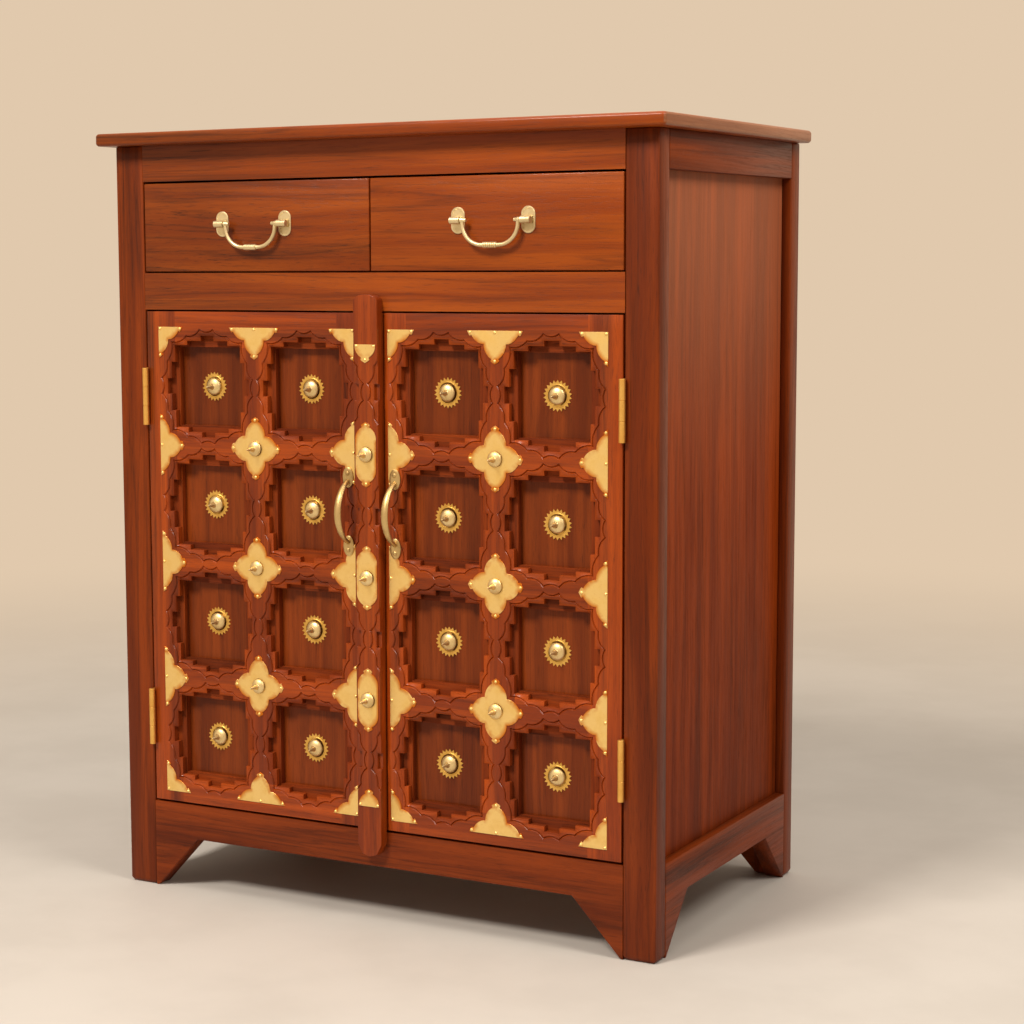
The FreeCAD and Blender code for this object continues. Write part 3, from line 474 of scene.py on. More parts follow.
def rosewood_figure() -> bpy.types.NodeTree:
    """The figure of rosewood whose grain runs along Z: rings, streaks, dark veins and pores."""
    tree = new_group(
        "rosewood_figure",
        {"Vector": "Vector", "Stick": "Float", "Light": "Color", "Main": "Color", "Dark": "Color",
         "Veins": "Float", "Recess": "Float"},
        {"Color": "Color", "Roughness": "Float", "Height": "Float"},
    )
    sheet = NodeSheet(tree)
    given = tree.nodes["Group Input"].outputs
    stick = given["Stick"]
    jump = sheet.add(
        "CombineXYZ",
        {axis: sheet.calc("MULTIPLY", stick, reach) for axis, reach in enumerate(STICK_JUMPS)},
    ).outputs[0]
    place = sheet.vector("ADD", given["Vector"], jump)
    drawn = sheet.vector("MULTIPLY", place, (1.0, 1.0, 0.075))
    sway = sheet.noise(drawn, 8.0, 3.0).outputs["Color"]
    sway = sheet.vector("SUBTRACT", sway, (0.5, 0.5, 0.5))
    drawn = sheet.vector("ADD", drawn, sheet.vector("MULTIPLY", sway, (0.07, 0.07, 0.07)))
    rings = sheet.add(
        "TexWave",
        {"Vector": drawn, "Scale": 6.0, "Distortion": 7.0, "Detail": 4.0, "Detail Scale": 2.0},
        wave_type="RINGS",
        rings_direction="Z",
    ).outputs["Fac"]
    lines = sheet.vector("MULTIPLY", drawn, (1.0, 1.0, 0.4))
    bands = sheet.noise(lines, 62.0, 4.0, 0.6).outputs["Fac"]
    threads = sheet.noise(lines, 330.0, 2.0, 0.6).outputs["Fac"]
    veins = sheet.span(sheet.noise(lines, 17.0, 5.0, 0.62).outputs["Fac"], 0.52, 0.72)
    level = sheet.calc("SUBTRACT", sheet.noise(lines, 26.0, 4.0, 0.55).outputs["Fac"], 0.5)
    contour = sheet.span(sheet.calc("ABSOLUTE", level), 0.0, 0.03, 0.5, 0.0)
    pores = sheet.span(sheet.noise(lines, 1300.0, 1.0).outputs["Fac"], 0.58, 0.72)
    stain = sheet.noise(place, 3.5, 2.0).outputs["Fac"]
    ringed = sheet.calc("ADD", sheet.calc("MULTIPLY", rings, 0.2), bands)
    share = sheet.span(ringed, 0.38, 0.84)
    colour = sheet.mix(share, given["Main"], given["Light"])
    dim = sheet.calc("MULTIPLY", sheet.calc("ADD", veins, contour), given["Veins"])
    dim = sheet.calc("ADD", dim, sheet.span(threads, 0.5, 0.8, 0.0, 0.24))
    dim = sheet.calc("ADD", dim, sheet.span(stain, 0.35, 0.75, 0.0, 0.14))
    # Painted shade: the shade share darkens the wood towards its dark colour.
    dim = sheet.calc("ADD", dim, sheet.calc("MULTIPLY", given["Recess"], 0.6))
    dim = sheet.calc("MINIMUM", sheet.calc("ADD", dim, sheet.calc("MULTIPLY", pores, 0.3)), 0.92)
    colour = sheet.mix(dim, colour, given["Dark"])
    tone = sheet.span(stick, 0.0, 1.0, 0.93, 1.07)
    tone = sheet.add("CombineColor", {0: tone, 1: tone, 2: tone}).outputs[0]
    colour = sheet.mix(1.0, colour, tone, "MULTIPLY")
    rough = sheet.calc(
        "ADD", sheet.span(threads, 0.3, 0.8, 0.34, 0.48), sheet.calc("MULTIPLY", pores, 0.12)
    )
    height = sheet.calc("SUBTRACT", sheet.calc("MULTIPLY", threads, 0.35), pores)
    results = {"Color": colour, "Roughness": rough, "Height": height}
    sheet.feed(tree.nodes["Group Output"], results)
    return tree


def worn_brass() -> bpy.types.NodeTree:
    """Brass that is clouded, finely scratched, and darkened where Rim is 1: a real stain on the
    plates' outlines, painted shade in the rosettes' grooves and at the bosses' feet.
    """
    tree = new_group(
        "worn_brass",
        {"Vector": "Vector", "Rim": "Float", "Bright": "Color", "Dull": "Color", "Stain": "Color",
         "Cloud": "Float"},
        {"Color": "Color", "Roughness": "Float", "Height": "Float"},
    )
    sheet = NodeSheet(tree)
    given = tree.nodes["Group Input"].outputs
    cloud = sheet.noise(given["Vector"], 42.0, 4.0, 0.6).outputs["Fac"]
    grit = sheet.noise(given["Vector"], 520.0, 3.0, 0.6).outputs["Fac"]
    brushed = sheet.vector("MULTIPLY", given["Vector"], (1.0, 1.0, 14.0))
    scratch = sheet.noise(brushed, 210.0, 2.0, 0.7).outputs["Fac"]
    share = sheet.calc("MULTIPLY", sheet.span(cloud, 0.38, 0.7), given["Cloud"])
    colour = sheet.mix(share, given["Bright"], given["Dull"])
    edge = sheet.calc("MULTIPLY", given["Rim"], sheet.span(cloud, 0.34, 0.56))
    colour = sheet.mix(edge, colour, given["Stain"])
    speck = sheet.span(grit, 0.62, 0.78, 0.0, 0.45)
    colour = sheet.mix(speck, colour, given["Stain"])
    rough = sheet.calc(
        "ADD", sheet.span(cloud, 0.3, 0.7, 0.32, 0.46), sheet.span(scratch, 0.3, 0.7, 0.0, 0.1)
    )
    height = sheet.calc(
        "ADD", sheet.calc("MULTIPLY", cloud, 1.6), sheet.calc("MULTIPLY", scratch, 0.35)
    )
    results = {"Color": colour, "Roughness": rough, "Height": height}
    sheet.feed(tree.nodes["Group Output"], results)
    return tree


class Grain(Enum):
    """Which way a board's grain runs, as the turn that brings it along Z."""

    ALONG_X = (0.0, math.pi / 2, 0.0)
    ALONG_Y = (math.pi / 2, 0.0, 0.0)
    UPRIGHT = (0.0, 0.0, 0.0)


@dataclass(frozen=True)
class LacqueredWood:
    """Rosewood under a clear lacquer.

    Colours are screen values; veins is how strongly the dark veins show, the recess share is
    painted shade that darkens what lies behind the doors' face, and gloss is the wood's own
    specular level.
    The left and low shares are painted shade that darkens it towards the left and the floor, and
    the top share is a painted sheen that pales its top.
    Ranges are in metres, the recessed and hidden ones from front to back.
    """

    name: str
    light: Colour
    main: Colour
    dark: Colour
    veins: float
    coat: float
    recess: float = 0.0
    gloss: float = 0.3
    left_stain: float = 0.0
    low_stain: float = 0.0
    painted_top_sheen: float = 0.0
    painted_sheen: Colour = (220, 150, 110)
    recess_range: Point = (-0.2362, -0.2262)
    hidden_range: Point = (-0.2371, -0.2355)
    left_range: Point = (-0.45, 0.15)
    low_range: Point = (0.1, 0.85)
    sheen_range: Point = (0.55, 1.05)
    hidden_roughness: float = 0.22
    coat_roughness: float = 0.14

    def material(self, grain: Grain) -> bpy.types.Material:
        """The finish with its grain in one direction.

        Args:
            grain: Which way the grain runs.

        Returns:
            A material, made once for each direction.
        """
        name = f"{self.name}_{grain.name.lower()}"
        if name in bpy.data.materials:
            return bpy.data.materials[name]
        material, sheet, shader = start_material(name)
        place = sheet.add("TexCoord").outputs["Object"]
        turned = sheet.add("Mapping", {"Vector": place, "Rotation": grain.value}).outputs[0]
        across, depth, height = sheet.add("SeparateXYZ", {0: place}).outputs
        # Painted shade: the wood is darkened behind the doors' face, towards the left and towards
        # the floor.
        recess = sheet.span(depth, *self.recess_range, 0.0, self.recess)
        left = sheet.span(across, *self.left_range, self.left_stain, 0.0)
        low = sheet.span(height, *self.low_range, self.low_stain, 0.0)
        recess = sheet.calc("ADD", sheet.calc("ADD", recess, left), low)
        stick = sheet.add("Attribute", attribute_name="stick").outputs["Fac"]
        tree = bpy.data.node_groups.get("rosewood_figure") or rosewood_figure()
        inputs = {
            "Vector": turned, "Stick": stick, "Light": linear(*self.light),
            "Main": linear(*self.main), "Dark": linear(*self.dark), "Veins": self.veins,
            "Recess": recess,
        }
        figure = sheet.add("Group", inputs, node_tree=tree).outputs
        bump = sheet.add("Bump", {"Strength": 0.35, "Distance": 0.0003, "Height": figure["Height"]})
        # Painted sheen: the colour is mixed towards a pale tone at the top.
        painted_sheen = sheet.span(height, *self.sheen_range, 0.0, self.painted_top_sheen)
        hidden = sheet.span(depth, *self.hidden_range, 0.0, float(self.recess > 0))
        matt = sheet.calc("MULTIPLY", hidden, self.hidden_roughness)
        bare = sheet.calc("SUBTRACT", 1.0, hidden)
        sheet.feed(shader, {
            "Base Color": sheet.mix(painted_sheen, figure["Color"], linear(*self.painted_sheen)),
            "Roughness": sheet.calc("ADD", figure["Roughness"], matt),
            "Coat Weight": sheet.calc("MULTIPLY", bare, self.coat),
            "Normal": bump.outputs[0],
            "Specular IOR Level": self.gloss,
            "Coat Roughness": self.coat_roughness,
        })
        return material


@dataclass(frozen=True)
class Brass:
    """Brass in one state of wear.

    Colours are screen values; cloud is how much of it is dull, bump how uneven it is, and metal
    how much of it is bare of dust and old lacquer.
    """

    name: str
    bright: Colour
    dull: Colour
    stain: Colour
    cloud: float
    bump: float
    metal: float = 0.9

    def material(self) -> bpy.types.Material:
        """The finish as a material, made once."""
        if self.name in bpy.data.materials:
            return bpy.data.materials[self.name]
        material, sheet, shader = start_material(self.name)
        tree = bpy.data.node_groups.get("worn_brass") or worn_brass()
        inputs = {
            "Vector": sheet.add("TexCoord").outputs["Object"],
            "Rim": sheet.add("Attribute", attribute_name="rim").outputs["Fac"],
            "Bright": linear(*self.bright), "Dull": linear(*self.dull),
            "Stain": linear(*self.stain), "Cloud": self.cloud,
        }
        wear = sheet.add("Group", inputs, node_tree=tree).outputs
        bump = sheet.add(
            "Bump", {"Strength": self.bump, "Distance": 0.0004, "Height": wear["Height"]}
        )
        sheet.feed(shader, {
            "Base Color": wear["Color"], "Roughness": wear["Roughness"],
            "Normal": bump.outputs[0], "Metallic": self.metal,
        })
        return material


@dataclass(frozen=True)
class MouldedPlastic:
    """Moulded plastic with a fine grained skin."""

    name: str
    pale: Colour
    deep: Colour

    def material(self) -> bpy.types.Material:
        """The finish as a material."""
        material, sheet, shader = start_material(self.name)
        place = sheet.add("TexCoord").outputs["Object"]
        cloud = sheet.noise(place, 60.0, 3.0).outputs["Fac"]
        skin = sheet.noise(place, 900.0, 2.0).outputs["Fac"]
        colour = sheet.mix(sheet.span(cloud, 0.3, 0.7), linear(*self.pale), linear(*self.deep))
        bump = sheet.add("Bump", {"Strength": 0.3, "Distance": 0.0002, "Height": skin})
        sheet.feed(shader, {
            "Base Color": colour, "Roughness": sheet.span(skin, 0.2, 0.8, 0.38, 0.55),
            "Normal": bump.outputs[0],
        })
        return material


# The left end of this wood is darkened as painted shade.
FRAME_WOOD = LacqueredWood(
    "frame_wood", (174, 80, 17), (142, 58, 11), (58, 27, 12), 0.45, 0.16, gloss=0.15,
    left_stain=0.55,
)
DEEP_WOOD = LacqueredWood(
    "deep_wood", (136, 56, 14), (100, 37, 8), (44, 20, 9), 0.5, 0.1, gloss=0.1
)
# This wood is darkened towards the floor as painted shade, and paled at its top as a painted sheen.
PANEL_WOOD = LacqueredWood(
    "side_wood", (160, 64, 16), (126, 45, 9), (58, 24, 10), 0.35, 0.0, gloss=0.04,
    low_stain=0.55, painted_top_sheen=0.26,
)
# A paler wood for the slab's ends: its own grain, and a painted sheen.
SHEENED_FACING_WOOD = LacqueredWood(
    "facing_wood", (176, 110, 70), (148, 84, 48), (84, 44, 26), 0.4, 0.2, gloss=0.25
)
CARVED_WOOD = LacqueredWood(
    "carved_wood", (170, 70, 13), (126, 46, 7), (42, 18, 7), 0.4, 0.25, 0.4, 0.15
)
CELL_WOOD = LacqueredWood(
    "cell_wood", (138, 60, 18), (106, 42, 11), (46, 21, 9), 0.25, 0.1, gloss=0.12
)
INNER_WOOD = LacqueredWood("inner_wood", (168, 112, 70), (138, 86, 50), (84, 48, 28), 0.4, 0.1)
PLATE_BRASS = Brass(
    "sheet_brass", (242, 206, 130), (230, 190, 106), (202, 112, 26), 0.7, 0.4
)
# Star and turned brass use their stain colour for specks and, as painted shade, for the rosettes'
# grooves and the bosses' feet.
STAR_BRASS = Brass(
    "star_brass", (226, 180, 92), (198, 150, 66), (96, 60, 24), 0.7, 0.4
)
BOSS_BRASS = Brass(
    "turned_brass", (232, 206, 150), (196, 164, 104), (92, 62, 30), 0.6, 0.2
)
FITTING_BRASS = Brass(
    "cast_brass", (226, 206, 160), (192, 170, 126), (96, 72, 38), 0.7, 0.35
)
PULL_BRASS = Brass(
    "handled_brass", (206, 176, 118), (162, 130, 80), (84, 58, 30), 0.8, 0.35
)
HINGE_BRASS = Brass(
    "hinge_brass", (236, 184, 96), (210, 152, 68), (140, 88, 36), 0.6, 0.3
)
CATCH_PLASTIC = MouldedPlastic("moulded_plastic", (120, 84, 60), (104, 70, 48))


# Carcass


@dataclass(frozen=True)
class Board:
    """One softened board or group of boards of the carcass or a drawer."""

    node: str
    finish: LacqueredWood
    slot: str
    grain: Grain
    ease: float
    body: str = "carcass"


@dataclass
class Joinery:
    """Boards that keep their CAD shape, with their arrises taken off."""

    joint_x: float = 385.0
    least_turn: float = 25.0
    end_slope: float = 0.7
    catch_round: float = 1.2
    first_seed: float = 0.13
    seed_step: float = 0.618034

    def soften(self, board: Board, seed: float) -> bpy.types.Object:
        """Rounds the outer edges of a board.

        Args:
            board: What to soften.
            seed: Starts its grain numbers.

        Returns:
            The piece that replaces the node.
        """
        bm = node_mesh(board.node)
        if board.ease > 0:
            edges = [
                edge for edge in bm.edges
                if edge.is_manifold
                and edge.is_convex
                and edge.calc_face_angle(0.0) > math.radians(self.least_turn)
                and not self.at_joint(edge, board)
            ]
            ease(bm, edges, board.ease)
        piece = make_piece(
            board.node + "_eased", bm, board.body,
            board.finish.material(board.grain), (board.node,), seed,
        )
        if board.node == "top_slab":
            self.face_ends(piece)
        return piece

    def face_ends(self, piece: bpy.types.Object) -> None:
        """Gives a board's ends a facing whose grain runs from front to back, in a paler colour that
        also paints the sheen the ends catch.
        """
        piece.data.materials.append(SHEENED_FACING_WOOD.material(Grain.ALONG_Y))
        for face in piece.data.polygons:
            face.material_index = int(abs(face.normal.x) > self.end_slope)

    def at_joint(self, edge: BMEdge, board: Board) -> bool:
        """Whether an edge of a rail lies where it meets a post."""
        if "rail" not in board.node:
            return False
        return all(abs(abs(vert.co.x) - self.joint_x) < 0.1 for vert in edge.verts)

    def boards(self) -> list[Board]:
        """All the boards, in the order that their grain numbers follow."""
        lacquer, panel, inner = "lacquered_wood", "panel_wood", "inner_wood"
        rows = [Board("top_slab", FRAME_WOOD, lacquer, Grain.ALONG_X, 1.4)]
        for name in SIDES:
            drawer, door = f"{name}_drawer", f"{name}_door"
            rows += [
                Board(f"post_front_{name}", DEEP_WOOD, lacquer, Grain.UPRIGHT, 2.2),
                Board(f"post_rear_{name}", DEEP_WOOD, lacquer, Grain.UPRIGHT, 2.2),
                Board(f"side_base_rail_{name}", DEEP_WOOD, lacquer, Grain.ALONG_Y, 1.2),
                Board(f"side_panel_{name}", PANEL_WOOD, panel, Grain.UPRIGHT, 0.0),
                Board(f"{drawer}_front", FRAME_WOOD, lacquer, Grain.ALONG_X, 1.5, drawer),
                Board(f"{drawer}_sides", INNER_WOOD, inner, Grain.ALONG_Y, 0.8, drawer),
                Board(f"{drawer}_bottom", INNER_WOOD, inner, Grain.ALONG_X, 0.0, drawer),
                Board(f"{door}_panels", CELL_WOOD, panel, Grain.UPRIGHT, 0.0, door),
            ]
        return rows + [
            Board("front_top_rail", FRAME_WOOD, lacquer, Grain.ALONG_X, 1.0),
            Board("front_middle_rail", FRAME_WOOD, lacquer, Grain.ALONG_X, 1.0),
            Board("front_base_rail", DEEP_WOOD, lacquer, Grain.ALONG_X, 1.0),
            Board("side_top_rails", DEEP_WOOD, lacquer, Grain.ALONG_Y, 1.0),
            Board("rear_top_rail", FRAME_WOOD, lacquer, Grain.ALONG_X, 1.0),
            Board("rear_base_rail", FRAME_WOOD, lacquer, Grain.ALONG_X, 1.0),
            Board("back_panel", PANEL_WOOD, panel, Grain.UPRIGHT, 0.0),
            Board("floor_board", INNER_WOOD, inner, Grain.ALONG_X, 0.8),
            Board("drawer_deck", INNER_WOOD, inner, Grain.ALONG_X, 0.8),
            Board("shelf", INNER_WOOD, inner, Grain.ALONG_X, 1.0),
            Board("shelf_cleats", INNER_WOOD, inner, Grain.ALONG_Y, 0.8),
            Board("drawer_guides", INNER_WOOD, inner, Grain.ALONG_Y, 0.8),
        ]

    def build(self) -> None:
        """Makes every board, and gives the catches their plastic."""
        seed = self.first_seed
        for board in self.boards():
            seed = (seed + self.seed_step) % 1.0
            self.soften(board, seed)
        bm = node_mesh("door_catches")
        edges = [edge for edge in bm.edges if edge.calc_face_angle(0.0) > 1.0]
        ease(bm, edges, self.catch_round)
        make_piece(
            "door_catch_bodies", bm, "carcass", CATCH_PLASTIC.material(),
            ("door_catches",),
        )


# Carved lattice


@dataclass
class CarvedPattern:
    """The lobed line and the square steps that are carved round every cell.

    turns are the distances of their corners from the cell's middle lines, and the insets those
    from its sides.
    """

    cell_width: float = 167.3
    cell_height: float = 173.0
    turns: Point = (12.0, 36.0)
    cusp_insets: tuple[float, float, float] = (2.0, 12.0, 20.5)
    step_insets: tuple[float, float, float] = (12.0, 19.3, 26.0)
    bulge: float = 4.2
    lobe_cuts: int = 5
    groove_outer: float = 1.5
    groove_inner: float = 1.2
    groove_depth: float = 2.1
    band_start: float = 0.7
    band_end: float = 2.4
    arris: float = 0.6
    arris_drop: float = 0.7
    wall_slope: float = 0.3
    step_depth: float = 11.5
    opening: float = BAR_HALF

    def cusps(self) -> list[Point]:
        """The points where the lobes meet, clockwise round a cell's middle."""
        half_x, half_z = self.cell_width / 2, self.cell_height / 2
        near, far = self.turns
        crest, flank, corner = self.cusp_insets
        return self.four_quarters([
            (near, half_z - crest),
            (far, half_z - flank),
            (half_x - corner, half_z - corner),
            (half_x - flank, far),
            (half_x - crest, near),
        ])

    def steps(self) -> list[Point]:
        """The corners of the square steps, clockwise round a cell's middle."""
        half_x, half_z = self.cell_width / 2, self.cell_height / 2
        near, far = self.turns
        first, second, last = self.step_insets
        return self.four_quarters([
            (near, half_z - first),
            (near, half_z - second),
            (far, half_z - second),
            (far, half_z - last),
            (half_x - last, half_z - last),
            (half_x - last, far),
            (half_x - second, far),
            (half_x - second, near),
            (half_x - first, near),
        ])

    @staticmethod
    def four_quarters(quarter: list[Point]) -> list[Point]:
        """Mirrors one quarter of an outline into all four.

        Args:
            quarter: Points from the top middle to the right middle.

        Returns:
            The whole outline, clockwise.
        """
        low_right = [(x, -z) for x, z in reversed(quarter)]
        low_left = [(-x, -z) for x, z in quarter]
        high_left = [(-x, z) for x, z in reversed(quarter)]
        return quarter + low_right + low_left + high_left

    def lobed_loop(self, bm: BMesh, middle: Vector) -> list[BMEdge]:
        """Adds the lobed outline of a cell.

        Args:
            bm: The mesh that grows.
            middle: The cell's middle on the face.

        Returns:
            The outline's edges.
        """
        chords = add_loop(bm, [middle + Vector((x, 0, z)) for x, z in self.cusps()])
        outline = []
        for chord in chords:
            start, end = chord.verts[0].co.copy(), chord.verts[1].co.copy()
            side = (end - start).cross(Vector((0, 1, 0))).normalized()
            if side.dot((start + end) / 2 - middle) > 0:
                side.negate()
            made = bmesh.ops.subdivide_edges(bm, edges=[chord], cuts=self.lobe_cuts)
            outline += pick(made["geom_split"], BMEdge)
            for vert in pick(made["geom_inner"], BMVert):
                share = (vert.co - start).length / (end - start).length
                vert.co += side * (4 * self.bulge * share * (1 - share))
        return outline

    def carve(self, bm: BMesh, cell: BMFace) -> list[BMEdge]:
        """Carves one rectangular face of the front.

        Args:
            bm: The front sheet.
            cell: The face.

        Returns:
            The edges of the square opening that is left.
        """
        middle = cell.calc_center_median()
        sides = cell.edges[:]
        bmesh.ops.delete(bm, geom=[cell], context="FACES_ONLY")
        lobes = self.lobed_loop(bm, middle)
        bmesh.ops.triangle_fill(bm, use_beauty=True, edges=sides + lobes, normal=FRONT)
        hollow = fill_loop(bm, lobes)
        inset(bm, hollow, self.groove_outer, self.groove_depth)
        inset(bm, hollow, self.groove_inner, self.band_start - self.groove_depth)
        inner = hollow.edges[:]
        bmesh.ops.delete(bm, geom=[hollow], context="FACES_ONLY")
        down = Vector((0, self.band_end, 0))
        stairs = add_loop(bm, [middle + down + Vector((x, 0, z)) for x, z in self.steps()])
        bmesh.ops.triangle_fill(bm, use_beauty=True, edges=inner + stairs, normal=FRONT)
        well = fill_loop(bm, stairs)
        lip = self.arris * self.arris_drop
        inset(bm, well, self.arris, lip)
        inset(bm, well, self.wall_slope, self.step_depth - self.band_end - lip)
        ledge = well.edges[:]
        bmesh.ops.delete(bm, geom=[well], context="FACES_ONLY")
        half_x = self.cell_width / 2 - self.opening
        half_z = self.cell_height / 2 - self.opening
        corners = [(-half_x, half_z), (half_x, half_z), (half_x, -half_z), (-half_x, -half_z)]
        floor = Vector((0, self.step_depth, 0))
        square = add_loop(bm, [middle + floor + Vector((x, 0, z)) for x, z in corners])
        bmesh.ops.triangle_fill(bm, use_beauty=True, edges=ledge + square, normal=FRONT)
        return square


def carved_slab(
    pattern: CarvedPattern,
    low: Point,
    high: Point,
    face_y: float,
    back_y: float,
    columns: Sequence[float],
    rows: Sequence[float],
    arris: float,
) -> BMesh:
    """A board carved with a grid of cells, each open to the back.

    Args:
        pattern: What is carved round each cell.
        low: The board's least x and z.
        high: Its greatest x and z.
        face_y: The plane of its front.
        back_y: The plane of its back.
        columns: The x of the grid's lines.
        rows: The z of the grid's lines.
        arris: How far its outer front edges are rounded.

    Returns:
        A closed mesh.
    """
    bm = bmesh.new()
    bmesh.ops.create_grid(bm, x_segments=1, y_segments=1, size=0.5)
    bmesh.ops.rotate(bm, matrix=TO_UPRIGHT, verts=bm.verts[:])
    bmesh.ops.scale(bm, vec=(high[0] - low[0], 1, high[1] - low[1]), verts=bm.verts[:])
    middle = ((low[0] + high[0]) / 2, face_y, (low[1] + high[1]) / 2)
    bmesh.ops.translate(bm, vec=middle, verts=bm.verts[:])
    for x in columns:
        bmesh.ops.bisect_plane(bm, geom=everything(bm), plane_co=(x, 0, 0), plane_no=(1, 0, 0))
    for z in rows:
        bmesh.ops.bisect_plane(bm, geom=everything(bm), plane_co=(0, 0, z), plane_no=(0, 0, 1))
    outer = rim_edges(bm)
    cells = [
        face for face in bm.faces
        if min(columns) < face.calc_center_median().x < max(columns)
        and min(rows) < face.calc_center_median().z < max(rows)
    ]
    squares = [edge for cell in cells for edge in pattern.carve(bm, cell)]
    made = bmesh.ops.extrude_edge_only(bm, edges=outer + squares)["geom"]
    for vert in pick(made, BMVert):
        vert.co.y = back_y
    back = pick(made, BMEdge)
    bmesh.ops.triangle_fill(bm, use_beauty=True, edges=back, normal=(0, 1, 0))
    bmesh.ops.recalc_face_normals(bm, faces=bm.faces[:])
    if arris > 0:
        ease(bm, [edge for edge in outer if edge.is_valid], arris)
    return bm


@dataclass
class CarvedDoors:
    """Both leaves' carved frames, cut into their sticks."""

    pattern: CarvedPattern
    face_y: float = FACE_Y
    thickness: float = 29.0
    door_bottom: float = DOOR_BOTTOM
    door_top: float = DOOR_TOP
    door_outer: float = DOOR_OUTER
    left_leaf_end: float = -19.0
    right_leaf_end: float = 21.2
    lattice_inner: float = 27.0
    lattice_bottom: float = 148.0
    column_count: int = 2
    row_count: int = 4
    bar: float = BAR_HALF
    arris: float = 0.9

    def column(self, index: int) -> float:
        """The distance of a column line from the cabinet's middle."""
        return self.lattice_inner + index * self.pattern.cell_width

    def row(self, index: float) -> float:
        """The height of a row line."""
        return self.lattice_bottom + index * self.pattern.cell_height

    def sticks(self, meeting: float) -> dict[str, list[tuple[float, float, float, float]]]:
        """The ranges of the sticks, as near x, far x, low z and high z.

        Args:
            meeting: Where the leaf's meeting edge lies, measured towards the hinges.

        Returns:
            The ranges by member.
        """
        inner = self.column(0) + self.bar
        outer = self.column(self.column_count) - self.bar
        low, high = self.row(0) + self.bar, self.row(self.row_count) - self.bar
        bottom, top = self.door_bottom, self.door_top
        return {
            "meeting_stile": [(meeting, inner, bottom, top)],
            "hinge_stile": [(outer, self.door_outer, bottom, top)],
            "top_rail": [(inner, outer, high, top)],
            "bottom_rail": [(inner, outer, bottom, low)],
            "muntin": [
                (self.column(c) - self.bar, self.column(c) + self.bar, low, high)
                for c in range(1, self.column_count)
            ],
            "cross_rails": [
                (self.column(c) + self.bar, self.column(c + 1) - self.bar,
                 self.row(r) - self.bar, self.row(r) + self.bar)
                for c in range(self.column_count)
                for r in range(1, self.row_count)
            ],
        }

    def leaf(self, side: int, meeting: float) -> BMesh:
        """The whole carved leaf before it is cut into sticks."""
        ends = sorted((side * meeting, side * self.door_outer))
        return carved_slab(
            self.pattern,
            (ends[0], self.door_bottom),
            (ends[1], self.door_top),
            self.face_y,
            self.face_y + self.thickness,
            [side * self.column(c) for c in range(self.column_count + 1)],
            [self.row(r) for r in range(self.row_count + 1)],
            self.arris,
        )

    def cut_stick(
        self, leaf: BMesh, side: int, ends: tuple[float, float, float, float]
    ) -> BMesh:
        """Cuts one stick out of a leaf.

        Args:
            leaf: The whole leaf, which stays as it is.
            side: -1 for the left door, 1 for the right.
            ends: The stick's near x, far x, low z and high z.

        Returns:
            The stick as a closed mesh.
        """
        near, far, low, high = ends
        stick = leaf.copy()
        clip(stick, (0, 0, low), (0, 0, -1))
        clip(stick, (0, 0, high), (0, 0, 1))
        clip(stick, (side * near, 0, 0), (-side, 0, 0))
        clip(stick, (side * far, 0, 0), (side, 0, 0))
        return stick

    def build(self) -> None:
        """Makes every member of both leaves."""
        for name, side in SIDES.items():
            meeting = self.left_leaf_end if side < 0 else self.right_leaf_end
            leaf = self.leaf(side, meeting)
            for index, (member, ranges) in enumerate(self.sticks(meeting).items()):
                bm = bmesh.new()
                for ends in ranges:
                    stick = self.cut_stick(leaf, side, ends)
                    scrap = bpy.data.meshes.new("scrap")
                    stick.to_mesh(scrap)
                    bm.from_mesh(scrap)
                    bpy.data.meshes.remove(scrap)
                    stick.free()
                grain = Grain.ALONG_X if "rail" in member else Grain.UPRIGHT
                node = f"{name}_door_{member}"
                make_piece(
                    node + "_carved", bm, f"{name}_door",
                    CARVED_WOOD.material(grain), (node,), 0.17 * index + 0.4 * (side > 0),
                    CARVED_SHARP,
                )
            leaf.free()


